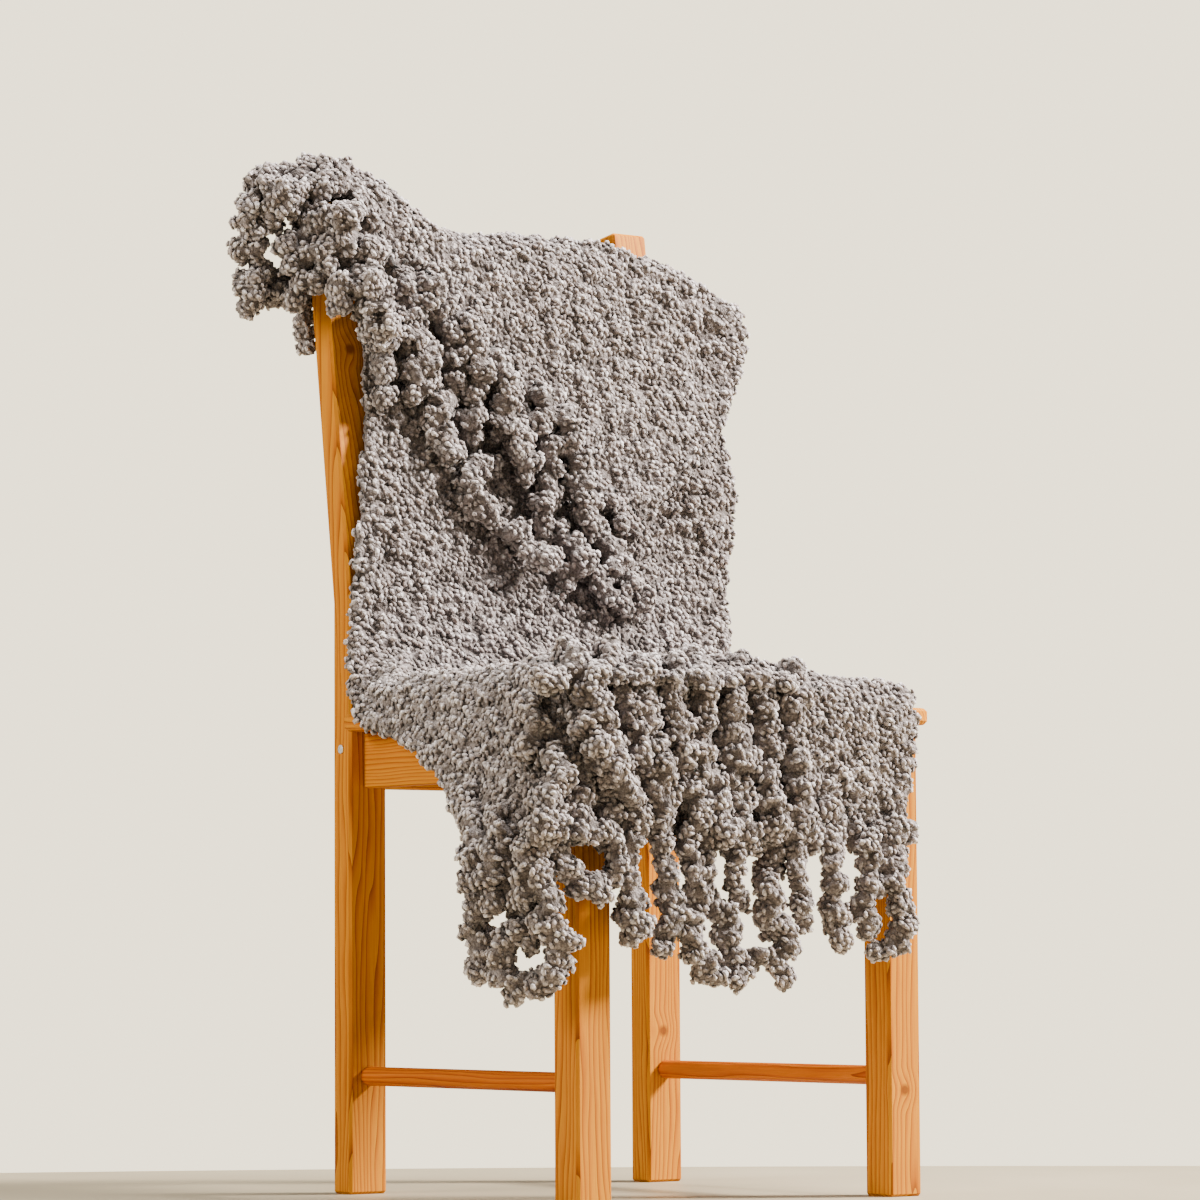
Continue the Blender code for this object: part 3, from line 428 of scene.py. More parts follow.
def oiled_pine(name, turn, shift, stain="FFFFFF", knot=None):
    """Sawn and planed pine with an oil finish gone honey-coloured: annual rings 3 to 4 mm apart as orange
    lines along each piece, fine darker fibres between them, and a soft satin gloss from the oil."""
    made, tree = new_material(name)
    place = add(tree, "ShaderNodeTexCoord")
    log = add(
        tree,
        "ShaderNodeMapping",
        {"Vector": place.outputs["Object"], "Rotation": turn, "Location": shift},
    )
    long = add(tree, "ShaderNodeMapping", {"Vector": log.outputs["Vector"], "Scale": (1.0, 1.0, 0.13)})
    rings = add(
        tree,
        "ShaderNodeTexWave",
        {
            "Vector": long.outputs["Vector"],
            "Scale": 84.0,
            "Distortion": 20.0,
            "Detail": 2.0,
            "Detail Scale": 0.34,
            "Detail Roughness": 0.45,
        },
        wave_type="RINGS",
        rings_direction="Z",
        wave_profile="SAW",
    )
    if knot:
        # The rings bend round the knot, out to 24 mm from its middle
        gap = add(
            tree,
            "ShaderNodeVectorMath",
            {0: place.outputs["Object"], 1: knot},
            operation="DISTANCE",
        )
        swirl = add(
            tree,
            "ShaderNodeMapRange",
            {"Value": gap.outputs["Value"], "From Max": 0.024, "To Min": 8.0, "To Max": 0.0},
            interpolation_type="SMOOTHSTEP",
        )
        tree.links.new(swirl.outputs["Result"], rings.inputs["Phase Offset"])
    ring_colour = add(
        tree,
        "ShaderNodeValToRGB",
        {"Fac": rings.outputs["Fac"]},
        stops=[(0.0, "CE900C"), (0.50, "C8850A"), (0.84, "B06A08"), (1.0, "884A06")],
    )
    # Fibres, 0.7 mm wide and 70 mm long, drawn wider than the real ones so that they show
    fibre_place = add(
        tree,
        "ShaderNodeMapping",
        {"Vector": log.outputs["Vector"], "Scale": (1.0, 1.0, 0.01)},
    )
    fibre = add(
        tree,
        "ShaderNodeTexNoise",
        {"Vector": fibre_place.outputs["Vector"], "Scale": 1400.0, "Detail": 3.0, "Roughness": 0.65},
    )
    fibre_colour = add(
        tree,
        "ShaderNodeValToRGB",
        {"Fac": fibre.outputs["Fac"]},
        stops=[(0.3, "D9C4AC"), (0.7, "FFFFFF")],
    )
    grained = add(
        tree,
        "ShaderNodeMix",
        {"Factor": 0.7, 6: ring_colour.outputs["Color"], 7: fibre_colour.outputs["Color"]},
        data_type="RGBA",
        blend_type="MULTIPLY",
    )
    # Patches where the oil went in deeper, about 110 mm across and longer along the grain
    patch = add(
        tree,
        "ShaderNodeTexNoise",
        {"Vector": long.outputs["Vector"], "Scale": 9.0, "Detail": 2.0, "Roughness": 0.5},
    )
    patch_colour = add(
        tree,
        "ShaderNodeValToRGB",
        {"Fac": patch.outputs["Fac"]},
        stops=[(0.35, "E8CFB0"), (0.65, "FFFAF2")],
    )
    patched = add(
        tree,
        "ShaderNodeMix",
        {"Factor": 0.7, 6: grained.outputs[2], 7: patch_colour.outputs["Color"]},
        data_type="RGBA",
        blend_type="MULTIPLY",
    )
    finished = add(
        tree,
        "ShaderNodeMix",
        {"Factor": 1.0, 6: patched.outputs[2], 7: linear(stain)},
        data_type="RGBA",
        blend_type="MULTIPLY",
    )
    if knot:
        # Its dark heart is about 10 mm across and fades at its rim
        heart = add(
            tree,
            "ShaderNodeMapRange",
            {
                "Value": gap.outputs["Value"],
                "From Min": 0.0030,
                "From Max": 0.0070,
                "To Min": 0.9,
                "To Max": 0.0,
            },
        )
        finished = add(
            tree,
            "ShaderNodeMix",
            {"Factor": heart.outputs["Result"], 6: finished.outputs[2], 7: linear("6E3606")},
            data_type="RGBA",
        )
    bump = add(
        tree,
        "ShaderNodeBump",
        {"Height": fibre.outputs["Fac"], "Strength": 0.15, "Distance": 0.0003},
    )
    shader = add(
        tree,
        "ShaderNodeBsdfPrincipled",
        {
            "Base Color": finished.outputs[2],
            "Roughness": 0.55,
            "IOR": 1.5,
            "Specular IOR Level": 0.1,
            "Normal": bump.outputs["Normal"],
        },
    )
    add(tree, "ShaderNodeOutputMaterial", {"Surface": shader.outputs["BSDF"]})
    return made


def zinc_plated_steel():
    """Turned steel, zinc plated: a dull bright metal with a slightly uneven film that clouds its reflections
    in spots of about a millimetre."""
    made, tree = new_material("zinc plated steel, turned")
    place = add(tree, "ShaderNodeTexCoord")
    cloud = add(
        tree,
        "ShaderNodeTexNoise",
        {"Vector": place.outputs["Object"], "Scale": 900.0, "Detail": 2.0},
    )
    rough = add(
        tree,
        "ShaderNodeMapRange",
        {"Value": cloud.outputs["Fac"], "To Min": 0.42, "To Max": 0.58},
    )
    shader = add(
        tree,
        "ShaderNodeBsdfPrincipled",
        {"Base Color": linear("E2E4E6"), "Metallic": 1.0, "Roughness": rough.outputs["Result"]},
    )
    add(tree, "ShaderNodeOutputMaterial", {"Surface": shader.outputs["BSDF"]})
    return made


def pale_screed():
    """Trowelled and sealed screed, pale grey and faintly clouded in patches of a third of a metre."""
    made, tree = new_material("sealed screed")
    place = add(tree, "ShaderNodeTexCoord")
    cloud = add(tree, "ShaderNodeTexNoise", {"Vector": place.outputs["Object"], "Scale": 3.0, "Detail": 4.0})
    colour = add(
        tree,
        "ShaderNodeValToRGB",
        {"Fac": cloud.outputs["Fac"]},
        stops=[(0.3, "A1957B"), (0.7, "ADA187")],
    )
    shader = add(
        tree,
        "ShaderNodeBsdfPrincipled",
        {"Base Color": colour.outputs["Color"], "Roughness": 0.45},
    )
    add(tree, "ShaderNodeOutputMaterial", {"Surface": shader.outputs["BSDF"]})
    return made


def new_piece(name, mesh, material):
    made = bpy.data.objects.new(name, mesh)
    bpy.context.scene.collection.objects.link(made)
    mesh.materials.clear()
    mesh.materials.append(material)
    return made


def new_mesh(name, work):
    """A mesh from a bmesh, which it uses up."""
    mesh = bpy.data.meshes.new(name)
    work.to_mesh(mesh)
    work.free()
    return mesh


def vertices_of(mesh):
    """The places and the normals of a mesh's vertices, as arrays."""
    spots = np.empty(len(mesh.vertices) * 3)
    ways = np.empty(len(mesh.vertices) * 3)
    mesh.vertices.foreach_get("co", spots)
    mesh.vertex_normals.foreach_get("vector", ways)
    return spots.reshape(-1, 3), ways.reshape(-1, 3)


def store(mesh, **layers):
    """Stores a value for each vertex under each name, for the yarn's material to read."""
    for name, values in layers.items():
        layer = mesh.attributes.new(name, "FLOAT", "POINT")
        layer.data.foreach_set("value", values)


def tree_of(objects):
    """The faces of some objects, for finding the nearest one or the first one along a ray."""
    spots, faces = [], []
    for one in objects:
        start = len(spots)
        spots += [vert.co[:] for vert in one.data.vertices]
        faces += [tuple(start + k for k in face.vertices) for face in one.data.polygons]
    return BVHTree.FromPolygons(spots, faces)


def camera_axes():
    """The camera's right, up and ahead."""
    yaw, pitch, roll = (math.radians(value) for value in (YAW, PITCH, ROLL))
    ahead = Vector((-math.sin(yaw) * math.cos(pitch), math.cos(yaw) * math.cos(pitch), math.sin(pitch)))
    level = Vector((math.cos(yaw), math.sin(yaw), 0.0))
    upright = level.cross(ahead)
    right = math.cos(roll) * level + math.sin(roll) * upright
    up = -math.sin(roll) * level + math.cos(roll) * upright
    return right, up, ahead


def sight(across, down):
    """The way in which the camera sees a pixel of the photograph."""
    right, up, ahead = camera_axes()
    middle = PHOTO_WIDTH / 2
    return (ahead + (right * (across - middle) - up * (down - middle)) / FOCUS).normalized()


def relief(spot):
    """Height of the crochet stitches over the mean surface: slanting rows of uneven lumps."""
    x, y, z = spot
    row = math.sin(2 * math.pi * (ROW_WAY[2] * z + ROW_WAY[1] * y + ROW_WAY[0] * x) / STITCH_WIDTH)
    lump = noise.noise(Vector((x, y, z)) / STITCH_WIDTH * LUMP_FINENESS)
    swell = noise.noise(Vector((x + SWELL_SHIFT, y, z)) / SWELL_SIZE)
    return STITCH_RELIEF * (ROW_SHARE * row + LUMP_SHARE * lump + SWELL_SHARE * swell)


def clump(spot):
    """How high a spot lies on its clump of curls, from 0 in the crease round it to 1 at its top."""
    near = noise.voronoi(spot / CLUMP_SIZE)[0]
    dome = max(0.0, 1.0 - (near[0] / CLUMP_EDGE) ** 2)
    return dome * min(1.0, (near[1] - near[0]) * CLUMP_STEEPNESS + CLUMP_LEAST)


def cloth_spots(spots, ways, wood):
    """The vertices of the cloth's ground, raised in stitches and, clear of the wood, in clumps."""
    lift = np.array([relief(spot) for spot in spots])
    for place, spot in enumerate(spots):
        if wood.find_nearest(Vector(spot), WOOD_REACH)[0] is None:
            lift[place] += CLUMP_HEIGHT * clump(Vector(spot))
    return spots + ways * (lift - GROUND_SINK)[:, None]


def cord_spot(spot, way, cloth):
    """Where a point of a fringe's ground goes: knotty, wandering where it hangs free, and drawn to the cloth
    at its back, so that the fringe grows out of the hem."""
    knot = noise.noise(spot / CORD_KNOT) * CORD_RELIEF + CORD_SWELL
    near, _, _, far = cloth.find_nearest(spot)
    loose = min(1.0, max(0.0, (far - CORD_HELD) / CORD_FREEING))
    moved = spot + way * knot + noise.noise_vector(spot / CORD_WANDER_SIZE) * CORD_WANDER * loose
    gap = near - spot
    if far < ROOT_REACH and gap.dot(way) > ROOT_FACING * far:
        moved = spot + gap * ROOT_DRAW
    return moved


def cut_cords(work, node):
    """Takes the plain strands off a fringe's ground, where its loose cords take their place."""
    spot, way = CORD_PLANES[node]
    geom = work.verts[:] + work.edges[:] + work.faces[:]
    bmesh.ops.bisect_plane(work, geom=geom, plane_co=spot, plane_no=way, clear_outer=True)
    bmesh.ops.holes_fill(work, edges=[edge for edge in work.edges if edge.is_boundary], sides=0)


def rounded_solid(node):
    """A merged copy of a packed soft solid, rounded by subdivision."""
    work = bmesh.new()
    work.from_mesh(NODES[node].data)
    bmesh.ops.remove_doubles(work, verts=work.verts, dist=MERGE_REACH)
    bmesh.ops.join_triangles(
        work,
        faces=work.faces,
        angle_face_threshold=math.radians(40),
        angle_shape_threshold=math.radians(60),
    )
    if node in CORD_PLANES:
        cut_cords(work, node)
    mesh = new_mesh(node + "_ground", work)
    made = bpy.data.objects.new(node + "_ground", mesh)
    bpy.context.scene.collection.objects.link(made)
    rounding = made.modifiers.new("rounded", "SUBSURF")
    rounding.levels = rounding.render_levels = GROUND_LEVELS
    graph = bpy.context.evaluated_depsgraph_get()
    made.data = bpy.data.meshes.new_from_object(made.evaluated_get(graph))
    made.modifiers.clear()
    bpy.data.meshes.remove(mesh)
    made.data.name = node + "_ground"
    return made


def ground_of(node, rng, wood, cloth=None):
    """The ground under the curls: the rounded solid, lumpy, and with its knots where it is a fringe."""
    made = rounded_solid(node)
    mesh = made.data
    spots, ways = vertices_of(mesh)
    if cloth:
        spots = np.array([cord_spot(Vector(spot), Vector(way), cloth) for spot, way in zip(spots, ways)])
    else:
        spots = cloth_spots(spots, ways, wood)
    mesh.vertices.foreach_set("co", spots.ravel())
    mesh.update()
    if cloth:
        add_knots(mesh, node, cloth, wood, rng)
    # Painted shade: the ground's colour is painted darker than the curls, and darker still in the creases
    # between clumps
    painted_ground_shares = [GROUND_LEAST + (1 - GROUND_LEAST) * clump(vert.co) for vert in mesh.vertices]
    store(mesh, lift=[GROUND_LIFT * share for share in painted_ground_shares], tint=[GROUND_TINT] * len(painted_ground_shares))
    mesh.shade_smooth()
    return made


def kept_in(spot, radius):
    """A knot and its radius, moved where it would come too far out of the plain solids' box."""
    spot.x = max(spot.x, CAD_BOX[0][0] - CORD_MARGIN[0] + radius)
    spot.y = max(spot.y, CAD_BOX[0][1] - CORD_MARGIN[1] + radius)
    return spot, radius


def depth_behind(across, down, radius, solids, reach):
    """How far off the solids are behind a knot in the photograph: at its middle, or else the median round
    it."""
    spots = [(across, down)]
    reach_out = RING_SIZE * radius
    for step in range(RING_STEPS):
        turn = math.radians(360 / RING_STEPS) * step
        spots.append((across + reach_out * math.cos(turn), down + reach_out * math.sin(turn)))
    depths = [solids.ray_cast(Vector(EYE), sight(*spot))[3] for spot in spots]
    depths = [depth if depth and reach[0] < depth < reach[1] else None for depth in depths]
    found = [depth for depth in depths if depth]
    if len(found) < RING_LEAST:
        return math.nan
    return depths[0] or float(np.median(found))


def place_cords(node):
    """The knots of each cord of a fringe and their radii, in space, from their places in the photograph."""
    lie = CORD_LIE[node]
    solids = tree_of([NODES[name] for name in lie["onto"]])
    cords = []
    for cord in CORDS[node]:
        depths = np.array([depth_behind(*knot, solids, lie["reach"]) for knot in cord])
        known = np.isfinite(depths)
        steps = np.arange(len(cord))
        depths = np.interp(steps, steps[known], depths[known])
        inner = [np.median(depths[step - 1 : step + 2]) for step in steps[1:-1]]
        depths = np.concatenate([depths[:1], inner, depths[-1:]])
        if lie["hang"]:
            depths = np.minimum.accumulate(depths)
        placed = []
        for (across, down, radius), depth in zip(cord, depths):
            out = lie["out"] if placed else lie["root"]
            radius *= depth / FOCUS * lie["full"]
            placed.append(kept_in(Vector(EYE) + sight(across, down) * (depth - out * radius), radius))
        cords.append(placed)
    return cords


def place_bunch():
    """The knots over the left post's top and their radii, in space."""
    knots = []
    for across, down, radius, depth in POST_BUNCH:
        knots.append(kept_in(Vector(EYE) + sight(across, down) * depth, radius * depth / FOCUS))
    return knots


def strung_between(above, below, rng):
    """The small knots between two knots of a cord."""
    (spot, radius), (spot_below, radius_below) = above, below
    mean = (radius + radius_below) / 2
    steps = 1 + int((spot_below - spot).length / (STRING_STEP * mean))
    knots = []
    for step in range(1, steps + 1):
        between = spot.lerp(spot_below, step / (steps + 1))
        shaken = between + noise.noise_vector(between / SHAKE_SIZE) * SHAKE
        knots.append((shaken, mean * NECK * rng.uniform(*NECK_SIZES)))
    return knots


def add_knots(mesh, node, cloth, wood, rng):
    """Joins the knots of its cords to a fringe's ground, with small ones strung over what is left of it."""
    knots = place_bunch() if node == "fringe_flap" else []
    for cord in place_cords(node):
        knots += cord
        for above, below in zip(cord, cord[1:]):
            knots += strung_between(above, below, rng)
    for spot, way in zip(*scattered(mesh, KNOT_SPACING, rng)):
        radius = rng.uniform(*KNOT_RADII)
        centre = Vector(spot) - Vector(way) * radius * KNOT_SINK
        clear_of_wood = wood.find_nearest(centre)[3] > radius + KNOT_WOOD_GAP
        if clear_of_wood and cloth.find_nearest(centre)[3] > KNOT_CLOTH_GAP * radius:
            knots.append((centre, radius))
    work = bmesh.new()
    work.from_mesh(mesh)
    for centre, radius in knots:
        ball = bmesh.ops.create_icosphere(
            work,
            subdivisions=3 if radius > FINE_KNOT else 2,
            radius=radius,
            matrix=Matrix.Translation(centre),
        )
        for vert in ball["verts"]:
            vert.co += (vert.co - centre) * noise.noise(vert.co / KNOT_LUMP_SIZE) * KNOT_LUMPS
    work.to_mesh(mesh)
    work.free()


def curl_shapes():
    """A few little worms of yarn, each of 20 faces, from a bent and dented ball."""
    shapes = []
    rng = random.Random(SEED)
    for bend, long in CURL_FORMS:
        work = bmesh.new()
        bmesh.ops.create_icosphere(work, subdivisions=1, radius=1.0)
        turn = Matrix.Rotation(rng.uniform(0, 3), 3, "X")
        bmesh.ops.rotate(work, verts=work.verts, cent=(0, 0, 0), matrix=turn)
        bmesh.ops.scale(work, verts=work.verts, vec=(long, CURL_BREADTH, CURL_THICKNESS))
        for vert in work.verts:
            vert.co.z -= bend * vert.co.x**2 - CURL_CENTRING * bend
            vert.co *= rng.uniform(*CURL_DENTS)
        work.verts.index_update()
        spots = np.array([vert.co[:] for vert in work.verts])
        shapes.append((spots, np.array([[vert.index for vert in face.verts] for face in work.faces])))
        work.free()
    return shapes


def scattered(mesh, spacing, rng):
    """Points spread evenly over a mesh, none nearer than spacing, with their normals."""
    mesh.calc_loop_triangles()
    corners = np.empty(len(mesh.loop_triangles) * 3, np.int32)
    mesh.loop_triangles.foreach_get("vertices", corners)
    corners = corners.reshape(-1, 3)
    spots, ways = vertices_of(mesh)
    a, b, c = (spots[corners[:, k]] for k in range(3))
    area = np.linalg.norm(np.cross(b - a, c - a), axis=1) / 2
    count = int(area.sum() / spacing**2 * TRIES)
    chosen = rng.choice(len(area), size=count, p=area / area.sum())
    u, v = rng.random(count), rng.random(count)
    over = u + v > 1
    u[over], v[over] = 1 - u[over], 1 - v[over]
    mixed = np.stack([1 - u - v, u, v])
    points = sum(mixed[k][:, None] * spots[corners[chosen, k]] for k in range(3))
    normals = sum(mixed[k][:, None] * ways[corners[chosen, k]] for k in range(3))
    normals /= np.linalg.norm(normals, axis=1)[:, None]
    tree = KDTree(count)
    for place, point in enumerate(points):
        tree.insert(point, place)
    tree.balance()
    taken = np.zeros(count, bool)
    kept = []
    for place in range(count):
        if not taken[place]:
            kept.append(place)
            for _, other, _ in tree.find_range(points[place], spacing):
                taken[other] = True
    return points[kept], normals[kept]


def ray_fan():
    """Directions over half a ball about +Z."""
    fan = []
    for height, count in RAY_RINGS:
        flat = math.sqrt(1 - height**2)
        for step in range(count):
            angle = 2 * math.pi * (step + height) / count
            fan.append((flat * math.cos(angle), flat * math.sin(angle), height))
    return np.array(fan)


def sideways(normals):
    """Two directions that lie square to each normal and to each other."""
    up = np.where(np.abs(normals[:, 2:3]) < STEEP, [[0.0, 0.0, 1.0]], [[1.0, 0.0, 0.0]])
    side = np.cross(up, normals)
    side /= np.linalg.norm(side, axis=1)[:, None]
    return side, np.cross(normals, side)


def shown(points, normals, solids):
    """Which points can be seen from outside, where at least one ray gets away, and how open each is to the
    light."""
    fan = ray_fan()
    side, other = sideways(normals)
    seen = np.zeros(len(points), bool)
    free = np.zeros(len(points))
    for place in range(len(points)):
        start = Vector(points[place] + normals[place] * RAY_START)
        ways = fan[:, 0:1] * side[place] + fan[:, 1:2] * other[place] + fan[:, 2:3] * normals[place]
        for way in ways:
            hit = solids.ray_cast(start, Vector(way), SEEN_REACH)
            if hit[0] is None:
                seen[place] = True
            if hit[0] is None or hit[3] > SHADE_REACH:
                free[place] += 1 / len(ways)
    return seen, free


def bridges(points, normals, cords, rng):
    """Extra places for curls across the narrow gap between the cloth's hem and its fringe."""
    spots, ways = [], []
    for point, normal in zip(points, normals):
        near, _, _, far = cords.find_nearest(Vector(point), BRIDGE_REACH)
        if near is None or far < BRIDGE_LEAST:
            continue
        gap = np.array(near) - point
        if gap @ normal > BRIDGE_FACING * far:
            for part in BRIDGE_TWO if far > BRIDGE_WIDE else BRIDGE_ONE:
                spots.append(point + gap * part + rng.normal(0, BRIDGE_SHAKE, 3))
                across = np.cross(gap / far, rng.normal(0, 1, 3))
                ways.append(across / np.linalg.norm(across))
    return np.array(spots).reshape(-1, 3), np.array(ways).reshape(-1, 3)


def fit_by_wood(centres, size, wood):
    """Shrinks the curls that lie close to the wood, and says which ones there is room for."""
    keep = np.ones(len(centres), bool)
    for place, centre in enumerate(centres):
        near = wood.find_nearest(Vector(centre), WOOD_LOOK)
        if near[0] is not None:
            room = (near[3] - WOOD_GAP) / CURL_REACH
            if room < CURL_LEAST:
                keep[place] = False
            size[place] = min(size[place], max(room, CURL_LEAST))
    return keep


def curls_on(points, normals, free, crease, wood, shapes, rng):
    """One curl for each point that has room for it, as arrays of vertices, faces, lift, which carries painted
    shade, and tint.
    """
    count = len(points)
    size = CURL_RADIUS * rng.uniform(*CURL_SIZES, count)
    dome = np.array([clump(Vector(point)) for point in points])
    raised = rng.normal(CURL_RISE, CURL_RISE_SPREAD, count)
    centres = points + normals * raised[:, None]
    keep = fit_by_wood(centres, size, wood)
    side, other = sideways(normals)
    lay = np.array(CURL_COURSE) - (normals @ CURL_COURSE)[:, None] * normals
    course = np.arctan2(np.einsum("nj,nj->n", lay, other), np.einsum("nj,nj->n", lay, side))
    turn = (course + rng.normal(0, CURL_TURN_SPREAD, count))[:, None]
    along = np.cos(turn) * side + np.sin(turn) * other
    across = np.cross(normals, along)
    tilt = rng.normal(CURL_TILT, CURL_TILT_SPREAD, count)[:, None]
    lean = np.sin(tilt) * along + np.cos(tilt) * normals
    top = np.cross(lean, across)
    kind = rng.integers(0, len(shapes), count)
    tint = rng.random(count)
    spots, faces, painted_light_levels, tints = [], [], [], []
    start = 0
    for which, (shape, shape_faces) in enumerate(shapes):
        chosen = np.nonzero(keep & (kind == which))[0]
        axes = np.stack([lean[chosen], across[chosen], top[chosen]], axis=1)
        placed = np.einsum("vk,nkj->nvj", shape, axes) * size[chosen, None, None] + centres[chosen, None, :]
        height = np.einsum("nvj,nj->nv", placed - points[chosen, None, :], normals[chosen])
        spots.append(placed.reshape(-1, 3))
        # Painted shade: a vertex's colour is darker the lower it lies on its curl, the fewer rays get away
        # from the curl, and the deeper the curl sits in a clump's crease
        painted_light_share = np.clip(OPEN_GAIN * free[chosen] - OPEN_LOSS, OPEN_LEAST, 1)
        painted_light_share = painted_light_share * (crease + (1 - crease) * dome[chosen])
        painted_light_levels.append((np.clip(height / CURL_TOP, 0, 1) * painted_light_share[:, None]).ravel())
        tints.append(np.repeat(tint[chosen], len(shape)))
        offsets = start + np.arange(len(chosen))[:, None, None] * len(shape)
        faces.append((shape_faces[None, :, :] + offsets).reshape(-1, 3))
        start += len(chosen) * len(shape)
    return np.concatenate(spots), np.concatenate(faces), np.concatenate(painted_light_levels), np.concatenate(tints)


def pile_piece(name, made, material):
    """One piece of curled pile, from the arrays of its curls."""
    spots, faces, painted_light_levels, tints = made
    mesh = bpy.data.meshes.new(name)
    mesh.vertices.add(len(spots))
    mesh.vertices.foreach_set("co", spots.ravel())
    mesh.loops.add(faces.size)
    mesh.loops.foreach_set("vertex_index", faces.ravel())
    mesh.polygons.add(len(faces))
    mesh.polygons.foreach_set("loop_start", np.arange(0, faces.size, 3))
    mesh.update(calc_edges=True)
    store(mesh, lift=painted_light_levels, tint=tints)
    mesh.shade_smooth()
    return new_piece(name, mesh, material)


def areas(points, normals):
    """Which part of the blanket each point lies on, so that no pile piece grows too big."""
    x, y, z = points.T
    label = np.full(len(points), "back_rear", object)
    low = z < SEAT_TOP
    label[low & (z < DROP_TOP)] = "drop"
    label[low & (z >= DROP_TOP)] = "seat"
    label[low & (z >= DROP_TOP) & (x > SEAT_MIDDLE)] = "seat_right"
    label[~low & (z < REAR_LOW_TOP)] = "back_rear_low"
    front = ~low & (normals[:, 1] < REAR_FACING)
    label[front & (z < BACK_LOW_TOP)] = "back_low"
    label[front & (z >= BACK_LOW_TOP) & (x < BACK_MIDDLE)] = "back_left"
    label[front & (z >= BACK_LOW_TOP) & (x >= BACK_MIDDLE)] = "back_right"
    return label


def make_grounds(rng, wood):
    """The grounds of the cloth and of its fringes, by node."""
    grounds = {"blanket": ground_of("blanket", rng, wood)}
    cloth = tree_of(grounds.values())
    for node in SOFT[1:]:
        grounds[node] = ground_of(node, rng, wood, cloth)
    return grounds


def make_piles(node, ground, everything, cords, wood, shapes, yarn, rng):
    """The pieces of curled pile over one ground."""
    points, normals = scattered(ground.data, CURL_SPACING, rng)
    seen, free = shown(points, normals, everything)
    seen &= free > LEAST_OPEN
    points, normals, free = points[seen], normals[seen], free[seen]
    if node == "blanket":
        more, more_ways = bridges(points, normals, cords, rng)
        points, normals = np.concatenate([points, more]), np.concatenate([normals, more_ways])
        free = np.concatenate([free, np.full(len(more), BRIDGE_OPEN)])
        crease, labels = CLOTH_CREASE, areas(points, normals)
    else:
        crease, labels = CORD_CREASE, np.full(len(points), node, object)
    piles = []
    for label in sorted(set(labels)):
        chosen = labels == label
        made = curls_on(points[chosen], normals[chosen], free[chosen], crease, wood, shapes, rng)
        piles.append(pile_piece("curls_" + label, made, yarn))
    return piles


def make_yarn_pieces(yarn):
    rng = np.random.default_rng(SEED)
    chair = [NODES[name] for name in CHAIR]
    wood = tree_of(chair)
    grounds = make_grounds(rng, wood)
    everything = tree_of(list(grounds.values()) + chair)
    cords = tree_of([ground for node, ground in grounds.items() if node != "blanket"])
    shapes = curl_shapes()
    piles = []
    for node, ground in grounds.items():
        ground.data.materials.clear()
        ground.data.materials.append(yarn)
        piles += make_piles(node, ground, everything, cords, wood, shapes, yarn, rng)
    for node, ground in grounds.items():
        ground.name = node + "_cloth" if node == "blanket" else node + "_cords"
        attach(ground, "root")
        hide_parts(node)
    for pile in piles:
        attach(pile, "root")


def finish_chair():
    """Gives each piece of the chair its wood or steel."""
    quarter = math.radians(90)
    crosswise = oiled_pine("oiled pine, grain crosswise", (0.0, quarter, 0.0), (0.35, 0.11, 0.0))
    lengthwise = oiled_pine("oiled pine, grain front to back", (quarter, 0.0, 0.0), (0.09, 0.22, 0.0))
    # The rungs are of a redder stick
    reddish = oiled_pine("oiled pine, red heartwood", (quarter, 0.0, 0.0), (0.13, 0.18, 0.0), "F4CCBC")
    steel = zinc_plated_steel()
    make_bolts(steel)
    finish = {}
    for name, (lean_x, lean_y), (x, y), knot in UPRIGHTS:
        finish[name] = oiled_pine("oiled pine, " + name, (lean_x, lean_y, 0.0), (-x, -y, 0.0), knot=knot)
    for name in ("apron_front", "apron_rear", "rail_top", "rail_low"):
        finish[name] = crosswise
    for name in ("apron_left", "apron_right", "seat"):
        finish[name] = lengthwise
    for name in ("rung_left", "rung_right"):
        finish[name] = reddish
    for name in ("bolt_left", "bolt_right"):
        finish[name] = steel
    for name, material in finish.items():
        for slot in NODES[name].material_slots:
            slot.material = material


def bolt_head(radius, depth):
    """A disc with a rounded rim and a six-sided socket, facing up."""
    work = bmesh.new()
    bmesh.ops.create_cone(
        work,
        cap_ends=True,
        cap_tris=False,
        segments=BOLT_STEPS,
        radius1=radius,
        radius2=radius,
        depth=depth,
    )
    face = max(work.faces, key=lambda one: one.calc_center_median().z)
    rim = list(face.edges)
    bmesh.ops.inset_region(work, faces=[face], thickness=radius * SOCKET_INSET)
    for vert in face.verts:
        angle = math.atan2(vert.co.y, vert.co.x) % math.radians(60) - math.radians(30)
        flat = Vector((vert.co.x, vert.co.y, 0.0)).normalized() * radius * SOCKET_HALF_WIDTH / math.cos(angle)
        vert.co.x, vert.co.y = flat.x, flat.y
    bmesh.ops.inset_region(work, faces=[face], thickness=0.0, depth=-depth * SOCKET_DEPTH)
    bmesh.ops.bevel(
        work,
        geom=rim,
        offset=radius * RIM_ROUND,
        segments=RIM_STEPS,
        profile=0.5,
        affect="EDGES",
        material=-1,
    )
    bmesh.ops.recalc_face_normals(work, faces=work.faces)
    return work


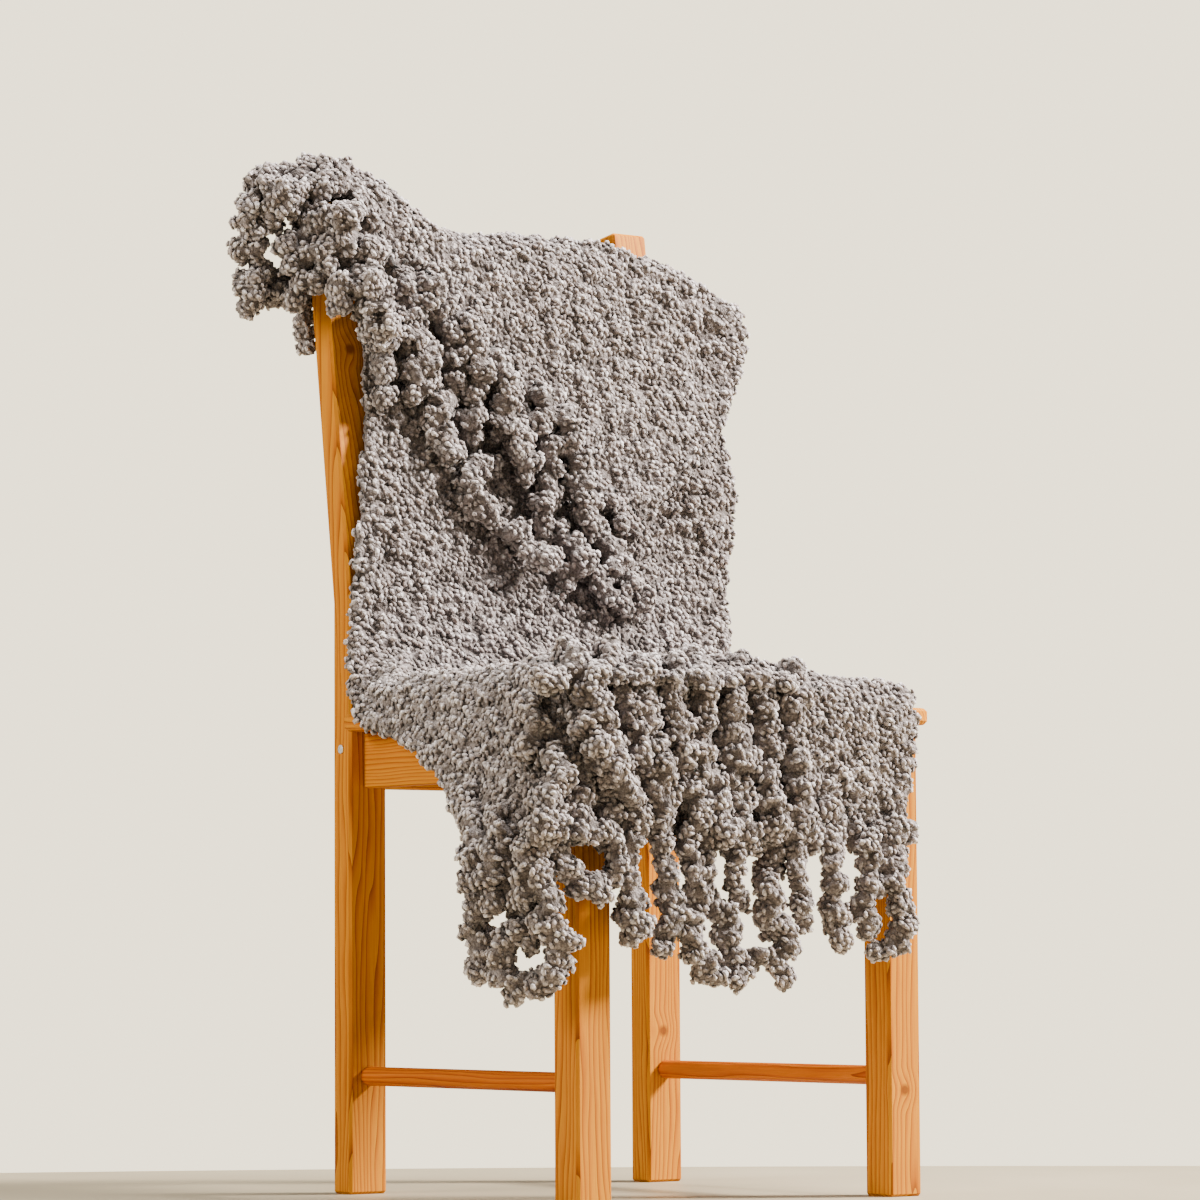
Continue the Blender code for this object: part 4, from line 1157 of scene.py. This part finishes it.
def make_bolts(steel):
    """A finer head for each bolt, on the outer face of its post."""
    for node, turn in (("bolt_left", -90), ("bolt_right", 90)):
        low, high = (Vector(corner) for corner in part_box(node))
        work = bolt_head((high.z - low.z) / 2, high.x - low.x)
        matrix = Matrix.Rotation(math.radians(turn), 3, "Y")
        bmesh.ops.rotate(work, verts=work.verts, cent=(0, 0, 0), matrix=matrix)
        bmesh.ops.translate(work, verts=work.verts, vec=(low + high) / 2)
        head = new_piece(node + "_head", new_mesh(node + "_head", work), steel)
        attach(head, "root")
        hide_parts(node)


def make_floor():
    work = bmesh.new()
    bmesh.ops.create_circle(work, cap_ends=True, segments=FLOOR_STEPS, radius=FLOOR_RADIUS)
    x, y = (EYE[k] + FLOOR_AHEAD * FLOOR_WAY[k] for k in (0, 1))
    bmesh.ops.translate(work, verts=work.verts, vec=(x, y, 0.0))
    floor = new_piece("floor", new_mesh("floor", work), pale_screed())


def make_light(name, place, size, power, colour):
    data = bpy.data.lights.new(name, "AREA")
    data.shape = "DISK"
    data.size = size
    data.energy = power
    data.color = linear(colour)[:3]
    lamp = bpy.data.objects.new(name, data)
    lamp.location = place
    lamp.rotation_euler = (Vector(LIGHTS_TARGET) - Vector(place)).to_track_quat("-Z", "Y").to_euler()
    bpy.context.scene.collection.objects.link(lamp)


def make_studio():
    """The floor, the lights, and a sky that is paler to the camera than to the object."""
    make_floor()
    for light in LIGHTS:
        make_light(*light)
    world = bpy.data.worlds.new("studio")
    bpy.context.scene.world = world
    world.use_nodes = True
    tree = world.node_tree
    tree.nodes.clear()
    path = add(tree, "ShaderNodeLightPath")
    seen = add(tree, "ShaderNodeBackground", {"Color": linear("F4E7C8"), "Strength": 3.0})
    sky = add(tree, "ShaderNodeBackground", {"Color": linear("F6F4EE"), "Strength": 0.24})
    both = add(
        tree,
        "ShaderNodeMixShader",
        {"Fac": path.outputs["Is Camera Ray"], 1: sky.outputs["Background"], 2: seen.outputs["Background"]},
    )
    add(tree, "ShaderNodeOutputWorld", {"Surface": both.outputs["Shader"]})


def make_camera():
    right, up, ahead = camera_axes()
    data = bpy.data.cameras.new("camera")
    data.lens = LENS
    data.sensor_width = SENSOR
    camera = bpy.data.objects.new("camera", data)
    axes = Matrix((right, up, -ahead)).transposed().to_4x4()
    camera.matrix_world = Matrix.Translation(EYE) @ axes
    bpy.context.scene.collection.objects.link(camera)
    bpy.context.scene.camera = camera


make_camera()
make_studio()
finish_chair()
make_yarn_pieces(boucle_yarn())
